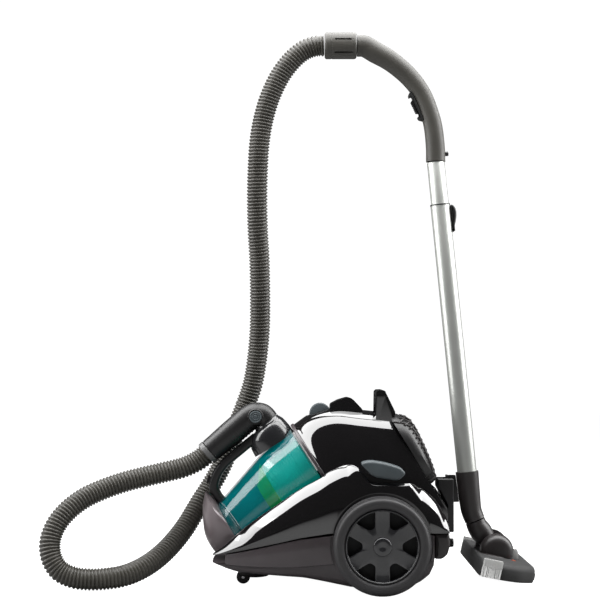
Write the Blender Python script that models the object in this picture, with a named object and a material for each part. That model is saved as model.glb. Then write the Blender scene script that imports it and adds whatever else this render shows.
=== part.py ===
"""Canister vacuum cleaner on its wheels, with its wand parked at the back.

Metres, +Z up. The floor is Z = 0. The hose end and the bin are at -X, the exhaust
grille and the parked wand are at +X, and Y = 0 is the machine's middle plane.
"""

import math

import bmesh
import bpy
from mathutils import Matrix, Vector

GAP = 0.0004

# Rear wheels and front caster
WHEEL_RADIUS = 0.083
WHEEL_X = 0.022
WHEEL_INNER_Y = 0.1125
WHEEL_OUTER_Y = 0.145
TYRE_INNER_RADIUS = 0.063
ARCH_RADIUS = 0.088
ARCH_INNER_Y = 0.109
CASTER_WHEEL_RADIUS = 0.012
CASTER_WHEEL_X = -0.218
CASTER_SWIVEL_X = -0.198

# Lower body
BODY_HALF_WIDTH = 0.114
FENDER_UNDER = [
    (-0.268, 0.0590), (-0.236, 0.0655), (-0.186, 0.0775), (-0.117, 0.0935), (-0.064, 0.1015),
    (0.138, 0.1015),
]
FENDER_INNER_Y = 0.0815
FENDER_NOSE_Y = 0.062
FENDER_OVERHANG = 0.0035
COVER_HALF_WIDTH = 0.080
TRAY_HALF_WIDTH = 0.074
SHELL = 0.003

# Dust bin: a cone on an axis that leans back, S along the axis and T across it
BIN_LEAN = math.radians(33.0)
BIN_FRONT = Vector((-0.263, 0.0, 0.142))
BIN_LENGTH = 0.180
BIN_SHOULDER_S = 0.114
BIN_SHOULDER_T = 0.033
BIN_TOP_T = 0.042
BIN_LOW_T = -0.112
BIN_WALL = 0.0025

# Hose
HOSE_RADIUS = 0.019
HOSE_CUFF_CENTRE = Vector((-0.277, 0.0, 0.236))
HOSE_CUFF_WAY = Vector((-0.747, 0.0, -0.664)).normalized()

# Wand: one straight axis for the two telescopic tubes and the neck
TUBE_LOW = Vector((0.182, 0.0, 0.198))
TUBE_HIGH = Vector((0.136, 0.0, 0.679))
TUBE_WAY = (TUBE_HIGH - TUBE_LOW).normalized()
OUTER_TUBE_RADIUS = 0.0175
INNER_TUBE_RADIUS = 0.016
INNER_TUBE_SHOWN = 0.077
INNER_TUBE_INSERTED = 0.420
CUFF_RADIUS = 0.024
CUFF_Z = 0.968

# Floor tool
TOOL_PIVOT = Vector((0.221, 0.0, 0.052))
TOOL_PITCH = math.radians(12.0)
TOOL_HALF_WIDTH = 0.140

PIANO_BLACK = ((0.018, 0.017, 0.019), 0.08, 0.0)
CAP_MAUVE = ((0.26, 0.235, 0.245), 0.22, 0.25)
SATIN_GREY = ((0.075, 0.068, 0.070), 0.42, 0.0)
MATTE_GREY = ((0.095, 0.112, 0.118), 0.60, 0.0)
MATTE_BLACK = ((0.022, 0.021, 0.022), 0.50, 0.0)
DARK_GREY = ((0.045, 0.040, 0.040), 0.45, 0.0)
TYRE_GREY = ((0.048, 0.045, 0.046), 0.65, 0.0)
DISC_BLACK = ((0.020, 0.020, 0.022), 0.15, 0.0)
TEAL = ((0.0, 0.10, 0.13), 0.10, 0.0)
CYAN = ((0.05, 0.42, 0.38), 0.70, 0.0)
GREEN = ((0.03, 0.36, 0.05), 0.35, 0.0)
HOSE_GREY = ((0.10, 0.098, 0.085), 0.50, 0.0)
LIGHT_GREY = ((0.55, 0.55, 0.54), 0.45, 0.0)
BRUSHED = ((0.62, 0.64, 0.62), 0.32, 0.9)
STEEL = ((0.60, 0.60, 0.61), 0.30, 1.0)
FILTER_WHITE = ((0.80, 0.80, 0.78), 0.90, 0.0)
BOARD_GREEN = ((0.02, 0.16, 0.06), 0.55, 0.0)
SEAL_BLACK = ((0.015, 0.015, 0.015), 0.80, 0.0)


# ---------------------------------------------------------------- shapes

def look_of(name, look):
    colour, roughness, metallic = look
    material = bpy.data.materials.new(name)
    material.use_nodes = True
    shader = material.node_tree.nodes["Principled BSDF"]
    shader.inputs["Base Color"].default_value = (*colour, 1.0)
    shader.inputs["Roughness"].default_value = roughness
    shader.inputs["Metallic"].default_value = metallic
    return material


def to_object(name, bm, look=None, pivot=(0.0, 0.0, 0.0)):
    """The mesh as an object whose origin is the pivot. With no look it's a cutter."""
    bmesh.ops.triangulate(bm, faces=[face for face in bm.faces if len(face.verts) > 4])
    bmesh.ops.recalc_face_normals(bm, faces=bm.faces[:])
    bmesh.ops.translate(bm, verts=bm.verts[:], vec=-Vector(pivot))
    mesh = bpy.data.meshes.new(name)
    bm.to_mesh(mesh)
    bm.free()
    obj = bpy.data.objects.new(name, mesh)
    obj.location = pivot
    bpy.context.scene.collection.objects.link(obj)
    if look is None:
        obj.hide_render = True
        obj.display_type = "WIRE"
    else:
        mesh.materials.append(look_of(name, look))
    return obj


def loft(rings, closed=False):
    """Skin over rings of equal point counts. Closed joins the last ring to the first."""
    bm = bmesh.new()
    rows = [[bm.verts.new(point) for point in ring] for ring in rings]
    count = len(rows[0])
    pairs = list(zip(rows, rows[1:]))
    if closed:
        pairs.append((rows[-1], rows[0]))
    for low, high in pairs:
        for i in range(count):
            j = (i + 1) % count
            bm.faces.new((low[i], low[j], high[j], high[i]))
    if not closed:
        bm.faces.new(rows[0][::-1])
        bm.faces.new(rows[-1])
    return bm


def section(low, high, half_width, count=24, power=2.0):
    """A super-ellipse between two points of the middle plane, half_width wide in Y."""
    low, high = Vector(low), Vector(high)
    centre = (low + high) / 2
    up = (high - low) / 2
    ring = []
    for i in range(count):
        turn = math.tau * i / count
        c, s = math.cos(turn), math.sin(turn)
        rise = math.copysign(abs(s) ** (2 / power), s)
        side = math.copysign(abs(c) ** (2 / power), c)
        ring.append(centre + up * rise + Vector((0.0, half_width * side, 0.0)))
    return ring


def flat(points, z=0.0):
    """Middle plane points from (x, z) pairs."""
    return [Vector((x, 0.0, height + z)) for x, height in points]


def inset(outline, distance):
    """The (x, z) outline moved inwards; the outline runs anticlockwise."""
    moved = []
    for i, (x, z) in enumerate(outline):
        before = Vector(outline[i - 1])
        here = Vector((x, z))
        after = Vector(outline[(i + 1) % len(outline)])
        a = (here - before).normalized()
        b = (after - here).normalized()
        normal = Vector((-a.y - b.y, a.x + b.x)).normalized()
        stretch = max(0.5, normal.dot(Vector((-a.y, a.x))))
        moved.append(tuple(here + normal * distance / stretch))
    return moved


def slab(outline, y_low, y_high, edge=0.0, plan=None):
    """An (x, z) outline between two Y planes, its edges eased, its width by plan(x)."""
    stations = [(y_low, edge), (y_low + edge, 0.0), (y_high - edge, 0.0), (y_high, edge)]
    if edge == 0.0:
        stations = [(y_low, 0.0), (y_high, 0.0)]
    rings = []
    for y, depth in stations:
        shape = inset(outline, depth) if depth else outline
        rings.append([Vector((x, y * (plan(x) if plan else 1.0), z)) for x, z in shape])
    return loft(rings)


def circle(centre, axis, radius, count=32):
    axis = Vector(axis).normalized()
    side = Vector((0.0, 1.0, 0.0))
    if abs(axis.dot(side)) > 0.9:
        side = Vector((1.0, 0.0, 0.0))
    across = axis.cross(side).normalized()
    side = across.cross(axis).normalized()
    ring = []
    for i in range(count):
        turn = math.tau * i / count
        ring.append(Vector(centre) + radius * (side * math.cos(turn) + across * math.sin(turn)))
    return ring


def turned(centre, axis, profile, closed=False, count=32):
    """A turned solid: profile holds (distance along the axis, radius)."""
    axis = Vector(axis).normalized()
    rings = [circle(Vector(centre) + axis * along, axis, radius, count) for along, radius in profile]
    return loft(rings, closed)


def collar(centre, axis, low, high, outer, inner, count=32):
    """A ring or sleeve with a bore right through."""
    profile = [(low, outer), (high, outer), (high, inner), (low, inner)]
    return turned(centre, axis, profile, closed=True, count=count)


def ways_along(path):
    ways = []
    for i in range(len(path)):
        before = path[max(i - 1, 0)]
        after = path[min(i + 1, len(path) - 1)]
        ways.append((after - before).normalized())
    return ways


def pipe(path, outers, inners=None, count=20):
    """A tube along a path in the middle plane, solid if it has no inner radii."""
    ways = ways_along(path)
    rings = [circle(p, w, r, count) for p, w, r in zip(path, ways, outers)]
    if inners is None:
        return loft(rings)
    back = [circle(p, w, r, count) for p, w, r in zip(path, ways, inners)]
    return loft(rings + back[::-1], closed=True)


def bar(path, thicknesses, half_widths, count=12, power=3.5):
    """A bar of rounded oblong section along a path in the middle plane."""
    rings = []
    for p, w, thick, half in zip(path, ways_along(path), thicknesses, half_widths):
        up = Vector((-w.z, 0.0, w.x)) * thick / 2
        rings.append(section(p - up, p + up, half, count, power))
    return loft(rings)


def in_side(points):
    """The (x, z) pairs of middle plane points, turned anticlockwise."""
    pairs = [(p.x, p.z) for p in points]
    area = sum(a[0] * b[1] - b[0] * a[1] for a, b in zip(pairs, pairs[1:] + pairs[:1]))
    return pairs if area > 0 else pairs[::-1]


def box(low, high):
    outline = [(low[0], low[2]), (high[0], low[2]), (high[0], high[2]), (low[0], high[2])]
    return slab(outline, low[1], high[1])


def arc(centre, radius, start, end, steps):
    """(x, z) points on an arc, angles in degrees."""
    points = []
    for i in range(steps + 1):
        turn = math.radians(start + (end - start) * i / steps)
        points.append((centre[0] + radius * math.cos(turn), centre[1] + radius * math.sin(turn)))
    return points


def change(obj, operation, *tools):
    for tool in tools:
        modifier = obj.modifiers.new(tool.name, "BOOLEAN")
        modifier.operation = operation
        modifier.solver = "EXACT"
        modifier.object = tool
    return obj


def tool_of(name, bm):
    return to_object("tool_" + name, bm)


# ---------------------------------------------------------------- frames of reference

BIN_WAY = Vector((math.cos(BIN_LEAN), 0.0, math.sin(BIN_LEAN)))
BIN_UP = Vector((-math.sin(BIN_LEAN), 0.0, math.cos(BIN_LEAN)))


def at_bin(s, t, y=0.0):
    """A point given along (s) and across (t) the bin's axis."""
    return BIN_FRONT + BIN_WAY * s + BIN_UP * t + Vector((0.0, y, 0.0))


def bin_top(s):
    """Height of the bin's upper edge above its front corner."""
    if s < BIN_SHOULDER_S:
        return BIN_SHOULDER_T * s / BIN_SHOULDER_S
    beyond = (s - BIN_SHOULDER_S) / (BIN_LENGTH - BIN_SHOULDER_S)
    return BIN_SHOULDER_T + (BIN_TOP_T - BIN_SHOULDER_T) * beyond


def plan_width(x):
    """How far the lower body's sides come in towards the nose."""
    reach = min(max((x + 0.276) / 0.150, 0.0), 1.0)
    return 0.52 + 0.48 * math.sin(reach * math.pi / 2) ** 0.8


def height_at(x, points):
    """Height at x on a polyline of (x, z) that runs towards +X."""
    for (x0, z0), (x1, z1) in zip(points, points[1:]):
        if x <= x1:
            return z0 + (z1 - z0) * (x - x0) / (x1 - x0)
    return points[-1][1]


def on_tube(distance):
    """A point of the wand's axis, measured up from the neck's top."""
    return TUBE_LOW + TUBE_WAY * distance


REAR_TOP = Vector((0.036, 0.0, 0.304))
REAR_DOWN = Vector((0.518, 0.0, -0.856)).normalized()
REAR_OUT = Vector((0.856, 0.0, 0.518)).normalized()


def at_rear(down, out):
    return REAR_TOP + REAR_DOWN * down + REAR_OUT * out


def at_tool(x, y, z):
    """A point of the floor tool, given level and about its pivot, as it hangs."""
    turned_point = Matrix.Rotation(TOOL_PITCH, 3, "Y") @ Vector((x, y, z))
    return TOOL_PIVOT + turned_point


# ---------------------------------------------------------------- canister

def lower_body():
    outline = [
        (-0.262, 0.035), (-0.246, 0.029), (-0.228, 0.025), (-0.162, 0.021), (-0.117, 0.020),
        (-0.065, 0.014), (-0.026, 0.008), (0.060, 0.008), (0.077, 0.011), (0.106, 0.030),
        (0.112, 0.045), (0.112, 0.100), (-0.064, 0.099), (-0.117, 0.091), (-0.150, 0.084),
        (-0.186, 0.075), (-0.220, 0.067), (-0.245, 0.061), (-0.262, 0.0565), (-0.272, 0.051),
        (-0.271, 0.043),
    ]
    chassis = to_object(
        "chassis", slab(outline, -BODY_HALF_WIDTH, BODY_HALF_WIDTH, 0.006, plan_width), SATIN_GREY
    )
    under_bin = [
        (-0.300, 0.0445), (-0.2005, 0.0445), (-0.112, 0.102), (-0.100, 0.140), (-0.300, 0.140),
    ]
    tray = [(-0.046, 0.016), (0.070, 0.016), (0.100, 0.034), (0.100, 0.120), (-0.046, 0.120)]
    swivel = (CASTER_SWIVEL_X, 0, 0)
    up = (0, 0, 1)
    cuts = [
        tool_of("bin_seat", slab(under_bin, -0.0805, 0.0805)),
        tool_of("tray", slab(tray, -TRAY_HALF_WIDTH, TRAY_HALF_WIDTH)),
        tool_of("caster_well", turned(swivel, up, [(0, 0.037), (0.034, 0.037)])),
        tool_of("caster_stem", turned(swivel, up, [(0.030, 0.0055), (0.041, 0.0055)])),
    ]
    arches = []
    for side, way in (("left", -1), ("right", 1)):
        arch_start = (WHEEL_X, way * ARCH_INNER_Y, WHEEL_RADIUS)
        bore_start = (WHEEL_X, way * 0.088, WHEEL_RADIUS)
        arch = turned(arch_start, (0, way, 0), [(0, ARCH_RADIUS), (0.04, ARCH_RADIUS)], count=48)
        bore = turned(bore_start, (0, way, 0), [(0, 0.0054), (0.04, 0.0054)], count=20)
        arches.append(tool_of("arch_" + side, arch))
        cuts.append(tool_of("axle_bore_" + side, bore))
    change(chassis, "DIFFERENCE", *cuts, *arches)
    cradle = [(-0.108, 0.1025), (-0.0560, 0.1360), (-0.0510, 0.1360), (-0.0510, 0.1025)]
    to_object("bin_cradle", slab(cradle, -0.079, 0.079, 0.0015), DARK_GREY)
    return arches


def fender_ring(x, high):
    """A section of the left-hand shoulder, as (y, z) from the machine's middle."""
    low = height_at(x, FENDER_UNDER)
    inner = min(FENDER_INNER_Y, FENDER_NOSE_Y + (x + 0.250) * 0.130)
    outer = BODY_HALF_WIDTH * plan_width(x) + FENDER_OVERHANG
    ease = min(0.008, (high - low) * 0.3)
    return [
        (inner, low), (outer - ease * 0.4, low), (outer, low + ease * 0.4),
        (outer, high - ease), (outer - ease, high), (inner, high),
    ]


def fenders(arches):
    """The two glossy shoulders over the wheels, each with a notch for its pedal."""
    over = [
        (0.138, 0.111), (0.137, 0.121), (0.128, 0.139), (0.118, 0.156), (0.106, 0.166),
        (0.089, 0.178), (0.071, 0.187), (0.053, 0.1865), (0.006, 0.1905), (-0.017, 0.2185),
        (-0.040, 0.216), (-0.066, 0.205), (-0.086, 0.192), (-0.117, 0.175), (-0.151, 0.152),
        (-0.186, 0.128), (-0.223, 0.099), (-0.252, 0.072), (-0.264, 0.0645), (-0.268, 0.0620),
    ]
    for side, way, arch in (("left", -1, arches[0]), ("right", 1, arches[1])):
        rings = []
        for x, high in over:
            rings.append([Vector((x, way * y, z)) for y, z in fender_ring(x, high)])
        fender = to_object("fender_" + side, loft(rings), PIANO_BLACK)
        change(fender, "DIFFERENCE", arch)


def pedals():
    """Foot pedals: the left one switches the motor, the right one rewinds the cord."""
    outline = [
        (-0.015, 0.2215), (0.0085, 0.1975), (0.052, 0.1910), (0.0645, 0.2045), (0.0550, 0.2137),
        (0.0300, 0.2215), (0.0030, 0.2257),
    ]
    hinge = (0.060, 0.0, 0.2025)
    for name, way in (("power_pedal", -1), ("rewind_pedal", 1)):
        low, high = sorted((way * 0.0825, way * 0.1165))
        pivot = (hinge[0], way * 0.0995, hinge[2])
        to_object(name, slab(outline, low, high, 0.002), MATTE_GREY, pivot)


def cover_sections(shrink=0.0, ends=0.0):
    """Sections of the upper cover, from the collar's plane to the slanted rear plane."""
    stations = [
        (at_bin(0.190 - ends, -0.114), at_bin(0.190 - ends, 0.044), 0.079, 2.0),
        ((0.030, 0, 0.000), (-0.098, 0, 0.302), COVER_HALF_WIDTH, 2.2),
        ((0.050, 0, 0.000), (-0.058, 0, 0.3125), COVER_HALF_WIDTH, 2.4),
        ((0.080, 0, 0.000), (-0.010, 0, 0.3085), COVER_HALF_WIDTH, 2.6),
        (at_rear(0.350, ends), at_rear(0.0, ends), 0.078, 2.6),
    ]
    rings = []
    for low, high, half, power in stations:
        low, high = Vector(low), Vector(high)
        way = (high - low).normalized()
        rings.append(section(low + way * shrink, high - way * shrink, half - shrink, 32, power))
    return rings


CONSOLE = [
    (-0.0565, 0.3050), (-0.0565, 0.3145), (-0.0480, 0.3235), (-0.0290, 0.3310), (-0.0185, 0.3215),
    (-0.0060, 0.3095), (-0.0060, 0.3000),
]


def upper_cover():
    cover = to_object("upper_cover", loft(cover_sections()), PIANO_BLACK)
    change(cover, "UNION", tool_of("console", slab(CONSOLE[::-1], -0.030, 0.030, 0.002)))
    change(
        cover,
        "DIFFERENCE",
        tool_of("cover_hollow", loft(cover_sections(SHELL, 0.004))),
        tool_of("cover_foot", box((-0.200, -0.200, -0.100), (0.300, 0.200, 0.1045))),
        tool_of("rear_gap", box((0.1390, -0.200, 0.0), (0.300, 0.200, 0.1385))),
        tool_of("dial_slot", box((-0.104, -0.0125, 0.270), (-0.058, 0.0125, 0.340))),
    )
    panel = [
        at_rear(0.152, -0.003), at_rear(0.190, -0.003), Vector((0.1345, 0, 0.1040)),
        Vector((0.1388, 0, 0.1040)), Vector((0.1388, 0, 0.1400)), at_rear(0.152, 0.004),
    ]
    to_object("rear_panel", slab(in_side(panel), -0.0725, 0.0725), PIANO_BLACK)
    collar_ring = collar(at_bin(0.1835, -0.035), BIN_WAY, 0.0, 0.0060, 0.0815, 0.0725, 40)
    to_object("collar_ring", collar_ring, CAP_MAUVE)
    dial_profile = [(-0.010, 0.0175), (-0.008, 0.0195), (0.008, 0.0195), (0.010, 0.0175)]
    dial_centre = (-0.081, 0.0, 0.3015)
    dial = turned(dial_centre, (0, 1, 0), dial_profile)
    to_object("suction_dial", dial, MATTE_GREY, dial_centre)


def carry_handle():
    grip = [
        (0.0180, 0.3290), (0.0340, 0.3290), (0.0345, 0.3420), (0.0300, 0.3445), (0.0210, 0.3440),
        (0.0175, 0.3400),
    ]
    post = [(0.0160, 0.3105), (0.0345, 0.3075), (0.0345, 0.3420), (0.0175, 0.3400)]
    handle = to_object("carry_handle", slab(grip, -0.046, 0.046, 0.0015), PIANO_BLACK)
    posts = [
        tool_of("post_left", slab(post, -0.045, -0.033)),
        tool_of("post_right", slab(post, 0.033, 0.045)),
    ]
    change(handle, "UNION", *posts)


def rear_slab(top, bottom, within, out, half):
    """A block square to the slanted rear plane."""
    corners = [at_rear(top, within), at_rear(bottom, within), at_rear(bottom, out), at_rear(top, out)]
    return slab(in_side(corners), -half, half)


def exhaust():
    stack = [
        (0.0006, 0.002, 0.1500, 0.076), (0.013, 0.010, 0.1480, 0.073), (0.021, 0.020, 0.115, 0.064),
        (0.0275, 0.031, 0.060, 0.046),
    ]
    outer, inner = [], []
    for out, top, bottom, half in stack:
        outer.append(section(at_rear(bottom, out), at_rear(top, out), half, 32, 2.6))
        within = out - SHELL if out > 0.001 else -0.004
        low, high = at_rear(bottom - 0.004, within), at_rear(top + 0.004, within)
        inner.append(section(low, high, half - SHELL, 32, 2.6))
    grille = to_object("exhaust_grille", loft(outer), DARK_GREY)
    slots = []
    for i in range(7):
        down = 0.030 + i * 0.0155
        half = 0.045 - 0.0045 * abs(i - 2)
        slots.append(tool_of(f"slot_{i}", rear_slab(down, down + 0.007, 0.004, 0.040, half)))
    change(grille, "DIFFERENCE", tool_of("grille_hollow", loft(inner)), *slots)
    to_object("exhaust_filter", rear_slab(0.020, 0.142, -0.016, -0.0045, 0.046), FILTER_WHITE)


def rear_fittings():
    bumper = [
        (0.1125, 0.058), (0.126, 0.058), (0.135, 0.066), (0.1395, 0.082), (0.1385, 0.1010),
        (0.1125, 0.1010),
    ]
    to_object("rear_bumper", slab(bumper, -0.112, 0.112, 0.004), DARK_GREY)
    body = [
        (0.1400, 0.0925), (0.1560, 0.0925), (0.1560, 0.1870), (0.1265, 0.1870), (0.1265, 0.1720),
        (0.1430, 0.1400),
    ]
    bracket = to_object("park_bracket", slab(body, -0.022, 0.022, 0.002), SATIN_GREY)
    change(
        bracket,
        "DIFFERENCE",
        tool_of("hook_pocket", box((0.1385, -0.012, 0.1390), (0.1515, 0.012, 0.200))),
        tool_of("hook_slot", box((0.1500, -0.0048, 0.1390), (0.170, 0.0048, 0.200))),
    )
    sleeve = [(0, 0.0105), (0.004, 0.0105), (0.017, 0.0080), (0.017, 0.0045), (0.004, 0.0045)]
    to_object("cord_gland", turned((0.1400, 0, 0.0715), (1, 0, 0), sleeve, count=20), MATTE_BLACK)


# ---------------------------------------------------------------- inside the canister

def insides():
    motor_centre = at_bin(0.0, -0.050)
    motor = [(0.226, 0.044), (0.229, 0.047), (0.288, 0.047), (0.294, 0.030), (0.300, 0.014)]
    to_object("motor", turned(motor_centre, BIN_WAY, motor), STEEL)
    to_object("motor_mount", collar(motor_centre, BIN_WAY, 0.233, 0.243, 0.058, 0.0474), SEAL_BLACK)
    fan = [(0.207, 0.012), (0.209, 0.043), (0.221, 0.043), (0.2245, 0.010)]
    to_object("fan", turned(motor_centre, BIN_WAY, fan), BRUSHED, at_bin(0.215, -0.050))
    pad = turned(at_bin(0, -0.035), BIN_WAY, [(0.1915, 0.0670), (0.2025, 0.0670)])
    to_object("pre_motor_filter", pad, FILTER_WHITE)
    reel_centre = Vector((0.052, 0.0, 0.118))
    reel = [
        (-0.031, 0.0056), (-0.031, 0.050), (-0.028, 0.050), (-0.026, 0.024), (0.026, 0.024),
        (0.028, 0.050), (0.031, 0.050), (0.031, 0.0056),
    ]
    across = (0, 1, 0)
    to_object("cord_reel", turned(reel_centre, across, reel, closed=True), DARK_GREY, reel_centre)
    axle = turned(reel_centre, across, [(-0.060, 0.005), (0.060, 0.005)], count=20)
    to_object("reel_axle", axle, STEEL)
    upright = [(0.036, 0.0195), (0.068, 0.0195), (0.062, 0.130), (0.042, 0.130)]
    base = box((0.036, -0.060, 0.0165), (0.068, 0.060, 0.0225))
    bracket = to_object("reel_bracket", base, DARK_GREY)
    walls = [
        tool_of("reel_wall_left", slab(upright, -0.060, -0.040)),
        tool_of("reel_wall_right", slab(upright, 0.040, 0.060)),
    ]
    change(bracket, "UNION", *walls)
    bore = turned(reel_centre, across, [(-0.070, 0.0054), (0.070, 0.0054)], count=20)
    change(bracket, "DIFFERENCE", tool_of("reel_bore", bore))
    to_object("control_board", box((-0.042, -0.060, 0.0165), (0.020, 0.060, 0.0245)), BOARD_GREEN)


# ---------------------------------------------------------------- wheels

def wheel_pocket(turn):
    """Outline of the pocket between two spokes: a wedge with a round inner end."""
    points = []
    for i in range(7):
        angle = math.radians(120 + 20 * i)
        points.append(Vector((0.045 + 0.010 * math.cos(angle), 0.0, 0.010 * math.sin(angle))))
    for i in range(5):
        angle = math.radians(-17.4 + 8.7 * i)
        points.append(Vector((0.0575 * math.cos(angle), 0.0, 0.0575 * math.sin(angle))))
    hub = Vector((WHEEL_X, 0.0, WHEEL_RADIUS))
    spin = Matrix.Rotation(-turn, 3, "Y")
    return [(point.x, point.z) for point in (hub + spin @ p for p in points)]


def rear_wheel(side, way):
    hub = Vector((WHEEL_X, 0.0, WHEEL_RADIUS))
    axis = (0, way, 0)
    tyre = [
        (WHEEL_INNER_Y, TYRE_INNER_RADIUS), (WHEEL_INNER_Y, WHEEL_RADIUS - 0.004),
        (WHEEL_INNER_Y + 0.004, WHEEL_RADIUS), (WHEEL_OUTER_Y - 0.006, WHEEL_RADIUS),
        (WHEEL_OUTER_Y, WHEEL_RADIUS - 0.006), (WHEEL_OUTER_Y, TYRE_INNER_RADIUS + 0.002),
        (WHEEL_OUTER_Y - 0.002, TYRE_INNER_RADIUS),
    ]
    to_object("tyre_" + side, turned(hub, axis, tyre, closed=True, count=48), TYRE_GREY, hub)
    rim = TYRE_INNER_RADIUS - GAP
    profile = [
        (0.1412, 0.00505), (0.1165, 0.00505), (0.1165, rim), (0.1415, rim), (0.1415, 0.0160),
        (0.1440, 0.0160), (0.1455, 0.0120),
    ]
    disc = to_object("wheel_disc_" + side, turned(hub, axis, profile, count=48), DISC_BLACK, hub)
    cuts = []
    low, high = sorted((way * 0.124, way * 0.150))
    for i in range(6):
        pocket = slab(wheel_pocket(math.tau * i / 6), low, high)
        cuts.append(tool_of(f"pocket_{side}_{i}", pocket))
    change(disc, "DIFFERENCE", *cuts)
    to_object("axle_" + side, turned(hub, axis, [(0.0890, 0.005), (0.1410, 0.005)], count=20), STEEL)


def caster():
    swivel = Vector((CASTER_SWIVEL_X, 0.0, 0.0))
    up = (0, 0, 1)
    dome = [(0.0130, 0.020), (0.0150, 0.026), (0.0240, 0.030), (0.0320, 0.030)]
    fork = to_object("caster_fork", turned(swivel, up, dome), DARK_GREY, swivel)
    wheel_centre = Vector((CASTER_WHEEL_X, 0.0, CASTER_WHEEL_RADIUS))
    arm = [(-0.224, 0.008), (-0.212, 0.008), (-0.192, 0.0265), (-0.192, 0.0315), (-0.214, 0.0315)]
    stem = turned(swivel, up, [(0.030, 0.005), (0.0395, 0.005)], count=16)
    parts = [
        tool_of("fork_arm_left", slab(arm, -0.0115, -0.0085)),
        tool_of("fork_arm_right", slab(arm, 0.0085, 0.0115)),
        tool_of("fork_stem", stem),
    ]
    change(fork, "UNION", *parts)
    bore = turned(wheel_centre, (0, 1, 0), [(-0.02, 0.00205), (0.02, 0.00205)], count=12)
    wheel_slot = box((-0.2320, -0.0084, 0.0), (-0.2040, 0.0084, 0.0255))
    change(fork, "DIFFERENCE", tool_of("wheel_slot", wheel_slot), tool_of("fork_bore", bore))
    wheel = collar(wheel_centre, (0, 1, 0), -0.0080, 0.0080, CASTER_WHEEL_RADIUS, 0.00205, 24)
    to_object("caster_wheel", wheel, TYRE_GREY, wheel_centre)
    axle = turned(wheel_centre, (0, 1, 0), [(-0.0125, 0.002), (0.0125, 0.002)], count=12)
    to_object("caster_axle", axle, STEEL)


# ---------------------------------------------------------------- dust bin

def bin_ring(s, shrink=0.0, count=32):
    """A round section of the bin's cup, standing on its low edge."""
    radius = (bin_top(s) - BIN_LOW_T) / 2 - shrink
    return section(at_bin(s, BIN_LOW_T + shrink), at_bin(s, bin_top(s) - shrink), radius, count)


def dust_bin():
    stations = [0.0, 0.057, BIN_SHOULDER_S, BIN_LENGTH]
    cup = to_object("dust_bin", loft([bin_ring(s) for s in stations]), TEAL)
    hollow = loft([bin_ring(s, BIN_WALL) for s in (-0.004, 0.057, BIN_SHOULDER_S, 0.177)])
    change(cup, "DIFFERENCE", tool_of("bin_hollow", hollow))
    shroud = [(0.100, 0.048), (0.165, 0.056), (0.1765, 0.056)]
    to_object("cyclone_filter", turned(at_bin(0, -0.036), BIN_WAY, shroud), CYAN)
    funnel = [(0.075, 0.028), (0.0995, 0.058), (0.0995, 0.0495), (0.079, 0.022)]
    to_object("cyclone_funnel", turned(at_bin(0, -0.040), BIN_WAY, funnel, closed=True), GREEN)


def bin_door():
    stack = [
        (-0.0006, -0.1115, 0.004, 0.056), (-0.008, -0.1065, 0.031, 0.054),
        (-0.025, -0.0930, 0.013, 0.047), (-0.040, -0.0810, -0.012, 0.036),
        (-0.050, -0.0730, -0.036, 0.022),
    ]
    rings = [section(at_bin(s, low), at_bin(s, high), half, 28) for s, low, high, half in stack]
    to_object("bin_door", loft(rings), CAP_MAUVE, at_bin(-0.004, 0.028))
    seal = collar(at_bin(0, -0.056), BIN_WAY, GAP, 0.0030, 0.0530, 0.0490)
    to_object("door_seal", seal, SEAL_BLACK)


def bin_fittings():
    route = (
        (0.0065, 0.010), (0.008, 0.028), (0.026, 0.0445), (0.047, 0.0530), (0.083, 0.0580),
        (0.1085, 0.0615),
    )
    path = [at_bin(s, t) for s, t in route]
    thick = [0.016, 0.018, 0.0175, 0.017, 0.017, 0.017]
    half = [0.012, 0.013, 0.014, 0.014, 0.014, 0.013]
    to_object("bin_handle", bar(path, thick, half), MATTE_BLACK)
    levels = [
        (0.1140, 0.1825, 0.0320, 0.0455), (0.1140, 0.1775, 0.0300, 0.0580),
        (0.1200, 0.1750, 0.0260, 0.0680), (0.1290, 0.1720, 0.0200, 0.0715),
    ]
    rings = []
    for start, end, half, t in levels:
        middle, reach = (start + end) / 2, (end - start) / 2
        ring = []
        for i in range(24):
            turn = math.tau * i / 24
            ring.append(at_bin(middle + reach * math.cos(turn), t, half * math.sin(turn)))
        rings.append(ring)
    to_object("inlet_dome", loft(rings), MATTE_BLACK)
    middle = at_bin(0.017, 0.0362)
    along = (BIN_WAY * 0.737 + BIN_UP * 0.676).normalized()
    out = (BIN_UP * 0.737 - BIN_WAY * 0.676).normalized()
    latch = [
        middle - along * 0.009 + out * 0.0118, middle + along * 0.009 + out * 0.0118,
        middle + along * 0.007 + out * 0.0148, middle - along * 0.007 + out * 0.0148,
    ]
    to_object("bin_release", slab(in_side(latch), -0.008, 0.008), DARK_GREY, middle + out * 0.011)


def elbow():
    """Bent inlet pipe from the dome to the hose cuff, with its release button."""
    bend_centre = (-0.194, 0.277)
    path = flat(arc(bend_centre, 0.022, 30.0, 131.6, 6))
    straight = HOSE_CUFF_CENTRE - path[-1]
    path += [path[-1] + straight * f for f in (0.5, 0.84, 1.0)]
    outer = [0.0205, 0.0212] + [0.0225] * 4 + [0.023, 0.0228, 0.0215, 0.0212]
    inner = [0.0165] * 10
    to_object("hose_elbow", pipe(path, outer, inner), MATTE_BLACK)
    button_centre = Vector((-0.196, 0.0, 0.2965))
    out = Vector((0.0, -1.0, 0.0))
    profile = [(0.0254, 0.011), (0.0276, 0.011), (0.0288, 0.009)]
    button = turned(button_centre, out, profile, count=24)
    to_object("elbow_button", button, MATTE_GREY, button_centre)
    ring = collar(HOSE_CUFF_CENTRE, HOSE_CUFF_WAY, 0.0014, 0.0100, 0.0218, 0.0194, 28)
    to_object("elbow_cuff_ring", ring, LIGHT_GREY)


# ---------------------------------------------------------------- hose

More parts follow.
